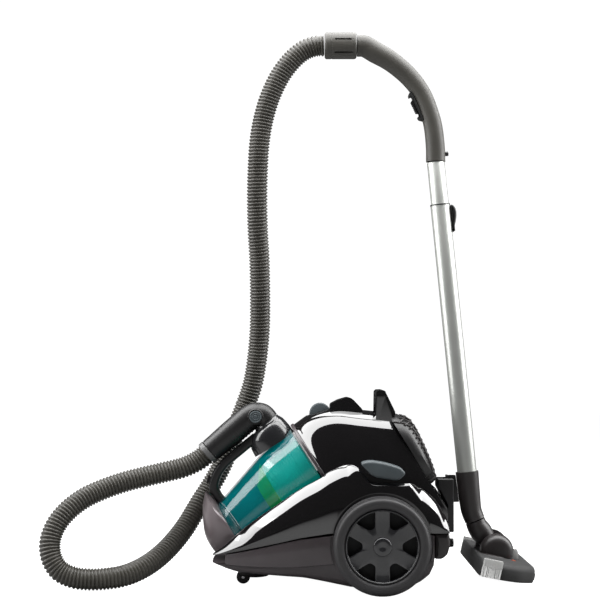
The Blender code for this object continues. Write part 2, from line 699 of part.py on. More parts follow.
# Route of the hose's middle line, in metres, from the elbow's cuff to the grip's cuff.
HOSE_ROUTE = [
    (-0.2778, 0.000, 0.2353), (-0.2975, 0.000, 0.2190), (-0.324, -0.002, 0.206),
    (-0.360, -0.006, 0.197), (-0.396, -0.012, 0.189), (-0.432, -0.020, 0.180),
    (-0.467, -0.030, 0.168), (-0.497, -0.042, 0.154), (-0.523, -0.056, 0.134),
    (-0.541, -0.068, 0.110), (-0.549, -0.078, 0.083), (-0.545, -0.085, 0.057),
    (-0.531, -0.088, 0.036), (-0.508, -0.089, 0.0245), (-0.480, -0.087, 0.0206),
    (-0.453, -0.081, 0.0206), (-0.423, -0.068, 0.0235), (-0.391, -0.045, 0.0345),
    (-0.359, -0.012, 0.0560), (-0.327, 0.023, 0.0920), (-0.299, 0.048, 0.1380),
    (-0.2800, 0.059, 0.1680), (-0.263, 0.062, 0.1990), (-0.246, 0.063, 0.2390),
    (-0.2315, 0.063, 0.2780), (-0.217, 0.062, 0.3150), (-0.204, 0.060, 0.3540),
    (-0.196, 0.056, 0.4000), (-0.191, 0.048, 0.4530), (-0.190, 0.038, 0.5070),
    (-0.1910, 0.026, 0.5800), (-0.1938, 0.016, 0.6330), (-0.1947, 0.008, 0.6870),
    (-0.1936, 0.003, 0.7400), (-0.190, 0.000, 0.7940), (-0.182, 0.000, 0.8390),
    (-0.169, 0.000, 0.8800), (-0.149, 0.000, 0.9190), (-0.1250, 0.000, 0.9480),
    (-0.106, 0.000, 0.9615), (-0.088, 0.000, 0.9672), (-0.0735, 0.000, 0.9680),
]
HOSE_SPLIT = 25


def hose(name, route):
    curve = bpy.data.curves.new(name, "CURVE")
    curve.dimensions = "3D"
    curve.bevel_depth = HOSE_RADIUS
    curve.bevel_resolution = 3
    curve.use_fill_caps = True
    spline = curve.splines.new("POLY")
    spline.points.add(len(route) - 1)
    for point, place in zip(spline.points, route):
        point.co = (*place, 1.0)
    curve.materials.append(look_of(name, HOSE_GREY))
    obj = bpy.data.objects.new(name, curve)
    bpy.context.scene.collection.objects.link(obj)


def hoses():
    """The hose in two lengths that meet behind the elbow, since its ends ride on two bodies."""
    low_end = Vector(HOSE_ROUTE[HOSE_SPLIT])
    step = (Vector(HOSE_ROUTE[HOSE_SPLIT + 1]) - low_end).normalized() * 0.002
    hose("hose_lower", HOSE_ROUTE[: HOSE_SPLIT + 1])
    hose("hose_upper", [tuple(low_end + step)] + HOSE_ROUTE[HOSE_SPLIT + 1:])


# ---------------------------------------------------------------- handle and wand

GRIP_PATH = [
    (-0.0130, 0.9680), (0.0, 0.9672), (0.020, 0.9560), (0.048, 0.9395), (0.081, 0.9110),
    (0.104, 0.8800), (0.117, 0.8480), (0.124, 0.8210), (0.128, 0.7850),
]


def handle():
    profile = [
        (-0.0720, 0.0215), (-0.0700, CUFF_RADIUS), (-0.0170, CUFF_RADIUS), (-0.0145, 0.0215),
        (-0.0145, 0.0150), (-0.0720, 0.0150),
    ]
    cuff = turned((0, 0, CUFF_Z), (1, 0, 0), profile, closed=True)
    to_object("hose_cuff", cuff, SATIN_GREY, (-0.043, 0.0, CUFF_Z))
    top = on_tube((TUBE_HIGH - TUBE_LOW).length + INNER_TUBE_SHOWN + GAP)
    path = flat(GRIP_PATH) + [top]
    outer = [0.0195, 0.0195, 0.0195, 0.0185, 0.0175, 0.0165, 0.0165, 0.0168, 0.0172, 0.0175]
    inner = [0.0140] * len(path)
    to_object("handle_grip", pipe(path, outer, inner), DARK_GREY)
    inward = Vector((-0.920, 0.0, -0.392)).normalized()
    along = Vector((0.392, 0.0, -0.920)).normalized()
    middle = Vector((0.1105, 0.0, 0.8640)) + inward * 0.0200
    pad = [
        middle - along * 0.013, middle + along * 0.013,
        middle + along * 0.010 + inward * 0.005, middle - along * 0.010 + inward * 0.005,
    ]
    to_object("air_slider", slab(in_side(pad), -0.007, 0.007), MATTE_BLACK, middle)
    low = on_tube((TUBE_HIGH - TUBE_LOW).length + INNER_TUBE_SHOWN - 0.0012)
    length = INNER_TUBE_SHOWN + INNER_TUBE_INSERTED
    tube = collar(low, -TUBE_WAY, 0.0, length, INNER_TUBE_RADIUS, 0.0148, 28)
    to_object("inner_tube", tube, BRUSHED)
    out = Vector((TUBE_WAY.z, 0.0, -TUBE_WAY.x))
    pin_place = on_tube(0.573) + out * 0.0202
    pin = turned(pin_place, out, [(0.0, 0.0042), (0.003, 0.0042), (0.0042, 0.0030)], count=16)
    to_object("lock_button", pin, MATTE_BLACK, pin_place)


HOOK = [(0.1470, 0.1440), (0.1675, 0.1440), (0.1613, 0.1920), (0.1470, 0.1920)]


def wand():
    length = (TUBE_HIGH - TUBE_LOW).length
    tube = collar(TUBE_LOW, TUBE_WAY, GAP, length, OUTER_TUBE_RADIUS, 0.0163, 28)
    to_object("outer_tube", tube, BRUSHED)
    out = Vector((TUBE_WAY.z, 0.0, -TUBE_WAY.x))
    teardrop = (
        (0.054, 0.0181), (0.003, 0.0181), (0.004, 0.0235), (0.014, 0.0275), (0.030, 0.0265),
    )
    button = [on_tube(length - below) + out * off for below, off in teardrop]
    pivot = on_tube(length - 0.03) + out * 0.02
    to_object("telescope_button", slab(in_side(button), -0.009, 0.009), MATTE_BLACK, pivot)
    path = [TUBE_LOW, TUBE_LOW - TUBE_WAY * 0.040] + flat([(0.1895, 0.1290), (0.1955, 0.1125)])
    neck = pipe(path, [0.0205, 0.0195, 0.0185, 0.0180], [0.0145] * len(path))
    to_object("wand_neck", neck, DARK_GREY)
    hook = to_object("park_hook", slab(HOOK, -0.0030, 0.0030), MATTE_BLACK)
    bar_of_hook = box((0.1440, -0.0100, 0.1440), (0.1480, 0.0100, 0.1920))
    change(hook, "UNION", tool_of("hook_bar", bar_of_hook))


# ---------------------------------------------------------------- floor tool

def floor_tool():
    seam = Vector((0.1963, 0.0, 0.1102))
    path = [seam] + flat([(0.1998, 0.1015), (0.2070, 0.0905), (0.2150, 0.0800)])
    elbow_pipe = pipe(path, [0.0178, 0.0182, 0.0200, 0.0180], count=20)
    swivel = to_object("tool_swivel", elbow_pipe, DARK_GREY, seam)
    barrel = [(-0.0200, 0.010), (-0.0170, 0.0150), (0.0170, 0.0150), (0.0200, 0.010)]
    ball = turned(TOOL_PIVOT, (0, 1, 0), barrel, count=24)
    link = pipe(flat([(0.2120, 0.0870), (0.2200, 0.0600)]), [0.0155, 0.0120], count=20)
    change(swivel, "UNION", tool_of("swivel_ball", ball), tool_of("swivel_link", link))

    right_half = [
        (0.0705, 0.088), (0.0385, 0.124), (0.0060, TOOL_HALF_WIDTH), (-0.0310, TOOL_HALF_WIDTH),
        (-0.0350, 0.134), (-0.0365, 0.094),
    ]
    plan = right_half + [(x, -y) for x, y in right_half[::-1]]
    levels = ((-0.0245, 0.985), (-0.0220, 1.0), (-0.0060, 1.0), (0.0000, 0.97), (0.0035, 0.90))
    rings = [[at_tool(x * scale, y * scale, z) for x, y in plan] for z, scale in levels]
    head = to_object("tool_head", loft(rings), DARK_GREY, TOOL_PIVOT)
    well = slab([(-0.026, -0.020), (0.026, -0.020), (0.026, 0.030), (-0.026, 0.030)], -0.026, 0.026)
    mouth_outline = [(-0.010, -0.060), (0.008, -0.060), (0.008, -0.010), (-0.010, -0.010)]
    recess_outline = [(0.0285, -0.0035), (0.0485, -0.0035), (0.0485, 0.020), (0.0285, 0.020)]
    mouth = slab(mouth_outline, -0.105, 0.105)
    recess = slab(recess_outline, -0.0315, 0.0315)
    for cutter in (well, mouth, recess):
        for vert in cutter.verts:
            vert.co = at_tool(*vert.co)
    change(
        head,
        "DIFFERENCE",
        tool_of("pivot_well", well),
        tool_of("suction_mouth", mouth),
        tool_of("pedal_recess", recess),
    )
    tool_fittings()


def tool_solid(name, outline, y_low, y_high, look, pivot, edge=0.0):
    """A slab in the floor tool's own level frame, set at the tool's pitch."""
    body = slab(outline, y_low, y_high, edge)
    for vert in body.verts:
        vert.co = at_tool(*vert.co)
    return to_object(name, body, look, pivot)


def tool_fittings():
    pedal = [(0.0300, 0.0000), (0.0470, 0.0000), (0.0450, 0.0150), (0.0400, 0.0230), (0.0315, 0.0200)]
    tool_solid("tool_pedal", pedal, -0.030, 0.030, LIGHT_GREY, at_tool(0.046, 0, 0.003), 0.001)
    brush = [(-0.0300, -0.0240), (0.0030, -0.0240), (0.0030, 0.0100), (-0.0300, 0.0100)]
    for side, way in (("left", -1), ("right", 1)):
        near, far = TOOL_HALF_WIDTH + GAP, TOOL_HALF_WIDTH + GAP + 0.003
        low, high = sorted((way * near, way * far))
        pivot = at_tool(0, way * TOOL_HALF_WIDTH, -0.027)
        tool_solid("side_brush_" + side, brush, low, high, LIGHT_GREY, pivot)


def main():
    for obj in list(bpy.data.objects):
        bpy.data.objects.remove(obj)
    arches = lower_body()
    fenders(arches)
    pedals()
    upper_cover()
    carry_handle()
    exhaust()
    rear_fittings()
    insides()
    rear_wheel("left", -1)
    rear_wheel("right", 1)
    caster()
    dust_bin()
    bin_door()
    bin_fittings()
    elbow()
    hoses()
    handle()
    wand()
    floor_tool()


main()
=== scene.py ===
import math
import random

import bmesh
import bpy
from mathutils import Matrix, Vector


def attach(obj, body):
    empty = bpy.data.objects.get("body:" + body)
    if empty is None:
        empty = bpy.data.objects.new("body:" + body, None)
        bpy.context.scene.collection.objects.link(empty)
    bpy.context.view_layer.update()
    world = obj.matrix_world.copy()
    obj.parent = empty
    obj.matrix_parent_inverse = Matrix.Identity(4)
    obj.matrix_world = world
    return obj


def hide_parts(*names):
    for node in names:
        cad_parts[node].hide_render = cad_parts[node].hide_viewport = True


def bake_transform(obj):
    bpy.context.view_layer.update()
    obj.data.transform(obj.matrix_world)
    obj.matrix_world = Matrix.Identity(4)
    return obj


# Looks of a canister vacuum cleaner around its CAD frame. Metres, +Z up, hose end at -X.
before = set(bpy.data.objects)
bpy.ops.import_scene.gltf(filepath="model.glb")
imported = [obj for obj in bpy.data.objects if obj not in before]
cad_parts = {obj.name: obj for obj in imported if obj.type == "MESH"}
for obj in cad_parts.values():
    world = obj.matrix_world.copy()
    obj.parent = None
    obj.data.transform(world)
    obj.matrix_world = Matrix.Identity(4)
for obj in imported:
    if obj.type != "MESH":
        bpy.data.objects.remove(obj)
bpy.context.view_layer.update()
random.seed(7)
MIDDLE = Vector((0.0, 1.0, 0.0))
UP = Vector((0.0, 0.0, 1.0))


SIDES = (("left", -1), ("right", 1))


# ---------------------------------------------------------------- camera and light

def put(node, values):
    """Sets a node's inputs by their names."""
    for name, value in values.items():
        node.inputs[name].default_value = value


def by_ray(tree, strength, to_others, to_camera):
    """Gives a strength one value for camera rays and another for all other rays."""
    seen = tree.nodes.new("ShaderNodeLightPath")
    bright = tree.nodes.new("ShaderNodeMapRange")
    put(bright, {"To Min": to_others, "To Max": to_camera})
    tree.links.new(seen.outputs["Is Camera Ray"], bright.inputs["Value"])
    tree.links.new(bright.outputs["Result"], strength)


def camera():
    data = bpy.data.cameras.new("camera")
    data.lens = 80.0
    data.sensor_width = 36.0
    data.dof.use_dof = False
    eye = bpy.data.objects.new("camera", data)
    eye.location = (-0.117, -2.4, 0.394)
    eye.rotation_euler = (math.radians(92.66), 0.0, 0.0)
    bpy.context.scene.collection.objects.link(eye)
    bpy.context.scene.camera = eye


def lamp(name, place, target, size, power, mirrored=True):
    """A soft lamp; one that isn't mirrored leaves no bright patch in glossy parts."""
    data = bpy.data.lights.new(name, "AREA")
    data.shape = "RECTANGLE"
    data.size, data.size_y = size
    data.energy = power
    obj = bpy.data.objects.new(name, data)
    obj.location = place
    way = Vector(target) - Vector(place)
    obj.rotation_euler = way.to_track_quat("-Z", "Y").to_euler()
    obj.visible_glossy = mirrored
    bpy.context.scene.collection.objects.link(obj)


def studio():
    """White room to the camera, dim to the gloss, with a few large soft lamps."""
    world = bpy.data.worlds.new("studio")
    world.use_nodes = True
    back = world.node_tree.nodes["Background"]
    put(back, {"Color": (1.0, 1.0, 1.0, 1.0)})
    by_ray(world.node_tree, back.inputs["Strength"], 0.045, 1.05)
    bpy.context.scene.world = world
    bpy.context.scene.view_settings.view_transform = "Standard"
    lamp("overhead", (0.05, 0.05, 1.75), (0.05, 0.05, 0.0), (4.6, 1.5), 158.0)
    lamp("right_box", (2.1, 0.05, 1.0), (0.0, 0.05, 0.3), (1.5, 1.5), 46.0)
    lamp("left_box", (-2.1, 0.05, 1.0), (0.0, 0.05, 0.3), (1.5, 1.5), 40.0)
    lamp("key", (-1.0, -1.7, 1.3), (0.0, 0.0, 0.25), (0.6, 0.6), 14.0, False)


def ground():
    """Pale floor that shows white to the camera only."""
    bm = bmesh.new()
    corners = [(-8.0, -8.0), (8.0, -8.0), (8.0, 8.0), (-8.0, 8.0)]
    bm.faces.new([bm.verts.new((x, y, 0.0)) for x, y in corners])
    mesh = bpy.data.meshes.new("floor")
    bm.to_mesh(mesh)
    bm.free()
    floor = bpy.data.objects.new("floor", mesh)
    bpy.context.scene.collection.objects.link(floor)
    paint = bpy.data.materials.new("floor")
    paint.use_nodes = True
    shader = paint.node_tree.nodes["Principled BSDF"]
    put(shader, {"Base Color": (0.22, 0.22, 0.22, 1.0), "Roughness": 0.9, "Specular IOR Level": 0.0,
                 "Emission Color": (1.0, 1.0, 1.0, 1.0)})
    by_ray(paint.node_tree, shader.inputs["Emission Strength"], 0.0, 1.0)
    mesh.materials.append(paint)


# ---------------------------------------------------------------- materials

LOOKS = {}


def surface(name, colour, roughness, metallic=0.0, coat=0.0, grain=900.0, bump=0.05, vary=0.12,
            rough_vary=0.06, wear=0.0, stretch=(1.0, 1.0, 1.0), painted_glow=0.0):
    """Moulded or brushed surface: colour drift, uneven gloss, fine grain and lighter worn edges.
    painted_glow adds painted light: the part glows in its own colour though it is no lamp.
    """
    paint = bpy.data.materials.new(name)
    paint.use_nodes = True
    nodes, links = paint.node_tree.nodes, paint.node_tree.links
    shader = nodes["Principled BSDF"]
    put(shader, {"Metallic": metallic, "Coat Weight": coat, "Coat Roughness": 0.03, "Coat IOR": 1.7})
    # Painted light: emission in the part's own colour brightens the part though it is no lamp.
    if painted_glow > 0.0:
        put(shader, {"Emission Color": (*colour, 1.0), "Emission Strength": painted_glow})
    place = nodes.new("ShaderNodeTexCoord")
    scaled = nodes.new("ShaderNodeMapping")
    put(scaled, {"Scale": stretch})
    links.new(place.outputs["Object"], scaled.inputs["Vector"])
    drift = nodes.new("ShaderNodeTexNoise")
    put(drift, {"Scale": 22.0, "Detail": 3.0})
    links.new(place.outputs["Object"], drift.inputs["Vector"])
    tint = nodes.new("ShaderNodeValToRGB")
    dark, light = tint.color_ramp.elements
    dark.position, light.position = 0.3, 0.7
    dark.color = (*[c * (1 - vary) for c in colour], 1.0)
    light.color = (*[min(1.0, c * (1 + vary)) for c in colour], 1.0)
    links.new(drift.outputs["Fac"], tint.inputs["Fac"])
    shown = tint.outputs["Color"]
    if wear > 0.0:
        geometry = nodes.new("ShaderNodeNewGeometry")
        edges = nodes.new("ShaderNodeMapRange")
        put(edges, {"From Min": 0.52, "From Max": 0.62, "To Max": wear})
        links.new(geometry.outputs["Pointiness"], edges.inputs["Value"])
        mix = nodes.new("ShaderNodeMix")
        mix.data_type = "RGBA"
        mix.inputs["B"].default_value = (*[min(1.0, c * 1.6 + 0.03) for c in colour], 1.0)
        links.new(edges.outputs["Result"], mix.inputs["Factor"])
        links.new(shown, mix.inputs["A"])
        shown = mix.outputs["Result"]
    links.new(shown, shader.inputs["Base Color"])
    fine = nodes.new("ShaderNodeTexNoise")
    put(fine, {"Scale": grain, "Detail": 4.0})
    links.new(scaled.outputs["Vector"], fine.inputs["Vector"])
    gloss = nodes.new("ShaderNodeMapRange")
    put(gloss, {"To Min": max(0.0, roughness - rough_vary), "To Max": min(1.0, roughness + rough_vary)})
    links.new(fine.outputs["Fac"], gloss.inputs["Value"])
    links.new(gloss.outputs["Result"], shader.inputs["Roughness"])
    relief = nodes.new("ShaderNodeBump")
    put(relief, {"Strength": bump, "Distance": 0.0004})
    links.new(fine.outputs["Fac"], relief.inputs["Height"])
    links.new(relief.outputs["Normal"], shader.inputs["Normal"])
    LOOKS[name] = paint


surface("piano_black", (0.004, 0.0036, 0.004), 0.06, coat=1.0, bump=0.012, rough_vary=0.03)
surface("cap_mauve", (0.13, 0.108, 0.114), 0.34, metallic=0.15, coat=0.3, grain=2400.0, bump=0.03)
surface("satin_grey", (0.046, 0.038, 0.041), 0.36, coat=0.15, bump=0.05, wear=0.15)
surface("matte_blue_grey", (0.05, 0.062, 0.068), 0.52, bump=0.12, wear=0.2)
surface("matte_black", (0.0085, 0.0082, 0.0085), 0.4, bump=0.12, wear=0.15)
surface("dark_grey", (0.016, 0.0135, 0.0135), 0.38, bump=0.1, wear=0.2)
surface("tyre_grey", (0.027, 0.0262, 0.0275), 0.5, bump=0.25, wear=0.2)
surface("disc_black", (0.013, 0.0132, 0.0146), 0.24, coat=0.5, bump=0.03, wear=0.15)
surface("bin_teal", (0.0, 0.11, 0.125), 0.05, coat=1.0, bump=0.01, rough_vary=0.02, vary=0.2)
# Painted light: the filter, funnel, tray and lining inside the bin glow to brighten what the tinted walls
# darken.
surface("filter_cyan", (0.01, 0.6, 0.48), 0.5, bump=0.2, painted_glow=0.3)
surface("funnel_green", (0.02, 0.5, 0.05), 0.3, bump=0.05, painted_glow=0.25)
surface("tray_green", (0.02, 0.42, 0.06), 0.35, bump=0.05, painted_glow=0.25)
surface("lining_teal", (0.0, 0.26, 0.3), 0.4, bump=0.05, vary=0.3, painted_glow=0.3)
# Painted shade: a near-black sheet laid at the floor of the wheel pockets, darker than the disc.
surface("pocket_painted_shade", (0.002, 0.002, 0.0022), 0.7, bump=0.1)
surface("hose_grey", (0.046, 0.043, 0.036), 0.42, grain=1500.0, bump=0.1, wear=0.0)
surface("light_grey", (0.52, 0.52, 0.51), 0.45, bump=0.1)
surface("band_grey", (0.095, 0.095, 0.095), 0.4, bump=0.1)
surface("bristle_white", (0.78, 0.78, 0.77), 0.6, grain=1800.0, bump=0.4, stretch=(4.0, 4.0, 0.3))
surface("grip_grey", (0.046, 0.0435, 0.0375), 0.5, bump=0.1, wear=0.1)
surface("mark_orange", (0.45, 0.06, 0.012), 0.35, coat=0.3, bump=0.05)
surface("brushed_alu", (0.44, 0.452, 0.43), 0.36, metallic=0.65, grain=420.0, bump=0.1,
        rough_vary=0.08, vary=0.05, stretch=(6.0, 6.0, 0.12))
surface("steel", (0.6, 0.6, 0.61), 0.3, metallic=1.0, bump=0.08)
surface("filter_white", (0.74, 0.74, 0.71), 0.9, bump=0.6)
surface("board_green", (0.02, 0.16, 0.06), 0.5, grain=300.0, bump=0.3, vary=0.3)
surface("seal_black", (0.012, 0.012, 0.012), 0.75, bump=0.15)
# The bin's clear plastic lets the parts inside show through.
put(LOOKS["bin_teal"].node_tree.nodes["Principled BSDF"], {"Alpha": 0.36})


# ---------------------------------------------------------------- shapes

def along_curve(points, steps=6):
    """Centripetal Catmull-Rom points through the given ones."""
    points = [Vector(p) for p in points]
    before = [points[0] * 2 - points[1]] + points
    after = points + [points[-1] * 2 - points[-2]]
    made = []
    for a, b, c, d in zip(before, points, points[1:], after[2:]):
        t1 = max((b - a).length, 1e-7) ** 0.5
        t2 = t1 + max((c - b).length, 1e-7) ** 0.5
        t3 = t2 + max((d - c).length, 1e-7) ** 0.5
        for k in range(steps):
            t = t1 + (t2 - t1) * k / steps
            ab = a * ((t1 - t) / t1) + b * (t / t1)
            bc = b * ((t2 - t) / (t2 - t1)) + c * ((t - t1) / (t2 - t1))
            cd = c * ((t3 - t) / (t3 - t2)) + d * ((t - t2) / (t3 - t2))
            abc = ab * ((t2 - t) / t2) + bc * (t / t2)
            bcd = bc * ((t3 - t) / (t3 - t1)) + cd * ((t - t1) / (t3 - t1))
            made.append(abc * ((t2 - t) / (t2 - t1)) + bcd * ((t - t1) / (t2 - t1)))
    return made + [points[-1]]


def full_turn(count):
    return [math.tau * i / count for i in range(count)]


def rounded(points, radius, closed=True, steps=4):
    """A polyline of pairs or vectors with its corners rounded."""
    points = [Vector(p) for p in points]
    made = []
    for i, here in enumerate(points):
        if not closed and i in (0, len(points) - 1):
            made.append(here)
            continue
        before, after = points[i - 1], points[(i + 1) % len(points)]
        reach = min(radius, (before - here).length * 0.45, (after - here).length * 0.45)
        start = here + (before - here).normalized() * reach
        end = here + (after - here).normalized() * reach
        for k in range(steps + 1):
            t = k / steps
            made.append(start * (1 - t) ** 2 + here * 2 * t * (1 - t) + end * t ** 2)
    return made


def smooth_rings(rings, steps=5):
    columns = [along_curve(column, steps) for column in zip(*rings)]
    return [list(ring) for ring in zip(*columns)]


def loft(rings, closed=False):
    bm = bmesh.new()
    rows = [[bm.verts.new(point) for point in ring] for ring in rings]
    count = len(rows[0])
    pairs = list(zip(rows, rows[1:]))
    if closed:
        pairs.append((rows[-1], rows[0]))
    for low, high in pairs:
        for i in range(count):
            j = (i + 1) % count
            bm.faces.new((low[i], low[j], high[j], high[i]))
    if not closed:
        bm.faces.new(rows[0][::-1])
        bm.faces.new(rows[-1])
    return bm


def section(low, high, half_width, count=64, power=2.0):
    """A squared-off ellipse between two points, as wide as twice half_width across the middle."""
    low, high = Vector(low), Vector(high)
    centre, up = (low + high) / 2, (high - low) / 2
    ring = []
    for turn in full_turn(count):
        c, s = math.cos(turn), math.sin(turn)
        rise = math.copysign(abs(s) ** (2 / power), s)
        side = math.copysign(abs(c) ** (2 / power), c)
        ring.append(centre + up * rise + MIDDLE * (half_width * side))
    return ring


def circle(centre, axis, radius, count=64):
    axis = Vector(axis).normalized()
    side = MIDDLE if abs(axis.dot(MIDDLE)) < 0.9 else Vector((1.0, 0.0, 0.0))
    across = axis.cross(side).normalized()
    side = across.cross(axis).normalized()
    ring = []
    for turn in full_turn(count):
        ring.append(Vector(centre) + radius * (side * math.cos(turn) + across * math.sin(turn)))
    return ring


def turned(centre, axis, profile, closed=False, count=64, ease=0.0):
    """A turned solid: the profile holds (distance along the axis, radius)."""
    axis = Vector(axis).normalized()
    if ease:
        profile = rounded(profile, ease, closed, 3)
    rings = [circle(Vector(centre) + axis * p[0], axis, p[1], count) for p in profile]
    return loft(rings, closed)


def ways_along(path):
    ways = []
    for i in range(len(path)):
        ways.append((path[min(i + 1, len(path) - 1)] - path[max(i - 1, 0)]).normalized())
    return ways


def blended(values, count):
    """The values spread evenly over count places."""
    made = []
    for i in range(count):
        at = i * (len(values) - 1) / (count - 1)
        low = min(int(at), len(values) - 2)
        made.append(values[low] + (values[low + 1] - values[low]) * (at - low))
    return made


def pipe(path, outers, inner=None, count=48):
    """A tube along a path in the middle plane; solid where it has no inner radius."""
    path = along_curve(path)
    ways = ways_along(path)
    outers = blended(outers, len(path))
    rings = [circle(p, w, r, count) for p, w, r in zip(path, ways, outers)]
    if inner is None:
        return loft(rings)
    back = [circle(p, w, inner, count) for p, w in zip(path, ways)]
    return loft(rings + back[::-1], closed=True)


def bar(path, thicknesses, half_widths):
    """A flat bar along a path in the middle plane."""
    path = along_curve(path)
    thicknesses = blended(thicknesses, len(path))
    half_widths = blended(half_widths, len(path))
    rings = []
    for p, w, thick, half in zip(path, ways_along(path), thicknesses, half_widths):
        up = Vector((-w.z, 0.0, w.x)) * thick / 2
        rings.append(section(p - up, p + up, half, count=32, power=3.2))
    return loft(rings)


def area_of(pairs):
    return sum(a[0] * b[1] - b[0] * a[1] for a, b in zip(pairs, pairs[1:] + pairs[:1]))


def inset(outline, distance):
    """The anticlockwise outline moved inwards."""
    made = []
    for i, here in enumerate(outline):
        a = (here - outline[i - 1]).normalized()
        b = (outline[(i + 1) % len(outline)] - here).normalized()
        normal = Vector((-a.y - b.y, a.x + b.x))
        normal = normal.normalized() if normal.length > 1e-6 else Vector((-a.y, a.x))
        stretch = max(0.6, normal.dot(Vector((-a.y, a.x))))
        made.append(here + normal * distance / stretch)
    return made


def slab(outline, y_low, y_high, edge=0.0, steps=3):
    """A side outline between two Y planes with rounded edges. Its points are (x, z) or (x, y, z)."""
    outline = [Vector((p[0], p[-1])) for p in outline]
    if area_of(outline) < 0:
        outline = outline[::-1]
    levels = [(y_low, 0.0), (y_high, 0.0)]
    if edge:
        turns = [math.pi / 2 * k / steps for k in range(steps + 1)]
        low = [(y_low + edge * (1 - math.cos(t)), edge * (1 - math.sin(t))) for t in turns]
        high = [(y_high - (y - y_low), depth) for y, depth in low[::-1]]
        levels = low + high
    rings = []
    for y, depth in levels:
        shape = inset(outline, depth) if depth > 1e-7 else outline
        rings.append([Vector((p.x, y, p.y)) for p in shape])
    return loft(rings)


def side_slab(outline, way, near, far, edge=0.0, steps=3):
    """A slab on one side of the machine, between two distances from its middle."""
    low, high = sorted((way * near, way * far))
    return slab(outline, low, high, edge, steps)


def box(low, high):
    outline = [(low[0], low[2]), (high[0], low[2]), (high[0], high[2]), (low[0], high[2])]
    return slab(outline, low[1], high[1])


def moved(bm, change):
    for vert in bm.verts:
        vert.co = change(vert.co)
    return bm


def as_object(name, bm):
    bmesh.ops.triangulate(bm, faces=[face for face in bm.faces if len(face.verts) > 4])
    bmesh.ops.recalc_face_normals(bm, faces=bm.faces[:])
    mesh = bpy.data.meshes.new(name)
    bm.to_mesh(mesh)
    bm.free()
    obj = bpy.data.objects.new(name, mesh)
    bpy.context.scene.collection.objects.link(obj)
    return obj


def settle(obj):
    """Makes the object's modifiers part of its mesh."""
    graph = bpy.context.evaluated_depsgraph_get()
    mesh = bpy.data.meshes.new_from_object(obj.evaluated_get(graph))
    obj.modifiers.clear()
    obj.data = mesh


def piece(name, bm, body, look, nodes=(), cuts=(), joins=(), bevel=0.0, angle=35.0, held=True):
    """A shown piece: joined and cut, its edges eased, riding on a body in place of CAD nodes."""
    obj = as_object(name, bm)
    tools = [("UNION", as_object("join", b)) for b in joins]
    tools += [("DIFFERENCE", as_object("cut", b)) for b in cuts]
    for operation, tool in tools:
        change = obj.modifiers.new(operation, "BOOLEAN")
        change.operation = operation
        change.solver = "EXACT"
        change.object = tool
    if bevel:
        ease = obj.modifiers.new("ease", "BEVEL")
        ease.width = bevel
        ease.segments = 3
        ease.limit_method = "ANGLE"
        ease.angle_limit = math.radians(angle)
        ease.use_clamp_overlap = True
    if tools or bevel:
        settle(obj)
    for _, tool in tools:
        bpy.data.objects.remove(tool)
    mesh = obj.data
    if not mesh.polygons:
        raise RuntimeError(name + " has no faces")
    mesh.materials.clear()
    mesh.materials.append(LOOKS[look])
    mesh.polygons.foreach_set("use_smooth", [True] * len(mesh.polygons))
    mesh.set_sharp_from_angle(angle=math.radians(angle))
    if nodes:
        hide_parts(*nodes)
    if held:
        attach(obj, body)
    return obj


def merged(*meshes):
    """Several closed meshes as one bmesh."""
    whole = bmesh.new()
    for bm in meshes:
        mesh = bpy.data.meshes.new("part")
        bm.to_mesh(mesh)
        bm.free()
        whole.from_mesh(mesh)
        bpy.data.meshes.remove(mesh)
    return whole


# ---------------------------------------------------------------- frames of reference

BIN_FRONT = Vector((-0.263, 0.0, 0.142))
BIN_LEAN = math.radians(33.0)
BIN_WAY = Vector((math.cos(BIN_LEAN), 0.0, math.sin(BIN_LEAN)))
BIN_UP = Vector((-math.sin(BIN_LEAN), 0.0, math.cos(BIN_LEAN)))
BIN_LOW_T = -0.112
HALF_BODY = 0.114
WHEEL_X = 0.022
WHEEL_RADIUS = 0.083
WHEEL_HUB = Vector((WHEEL_X, 0.0, WHEEL_RADIUS))
TUBE_LOW = Vector((0.182, 0.0, 0.198))
TUBE_HIGH = Vector((0.136, 0.0, 0.679))
TUBE_WAY = (TUBE_HIGH - TUBE_LOW).normalized()
TUBE_OUT = Vector((TUBE_WAY.z, 0.0, -TUBE_WAY.x))
TUBE_LENGTH = (TUBE_HIGH - TUBE_LOW).length
TUBE_SHOWN = 0.077
REAR_TOP = Vector((0.036, 0.0, 0.304))
REAR_DOWN = Vector((0.518, 0.0, -0.856)).normalized()
REAR_OUT = Vector((0.856, 0.0, 0.518)).normalized()
CASTER_SWIVEL = Vector((-0.198, 0.0, 0.0))
CASTER_HUB = Vector((-0.218, 0.0, 0.012))
DIAL_CENTRE = Vector((-0.081, 0.0, 0.3015))
ELBOW_CUFF = Vector((-0.277, 0.0, 0.236))
ELBOW_CUFF_WAY = Vector((-0.747, 0.0, -0.664)).normalized()
ELBOW_BUTTON = Vector((-0.196, 0.0, 0.2965))
GRIP_CUFF = Vector((0.0, 0.0, 0.968))
SLIDER_WAY = Vector((0.392, 0.0, -0.92)).normalized()
SLIDER_OUT = Vector((-0.92, 0.0, -0.392)).normalized()
SLIDER_CENTRE = Vector((0.1105, 0.0, 0.864)) + SLIDER_OUT * 0.02
TOOL_PIVOT = Vector((0.221, 0.0, 0.052))
TOOL_TURN = Matrix.Rotation(math.radians(12.0), 3, "Y")


def at_bin(s, t, y=0.0):
    return BIN_FRONT + BIN_WAY * s + BIN_UP * t + MIDDLE * y


def bin_top(s):
    if s < 0.114:
        return 0.033 * s / 0.114
    return 0.033 + 0.009 * (s - 0.114) / 0.066


def at_rear(down, out, y=0.0):
    return REAR_TOP + REAR_DOWN * down + REAR_OUT * out + MIDDLE * y


def at_tool(co):
    return TOOL_PIVOT + TOOL_TURN @ Vector(co)


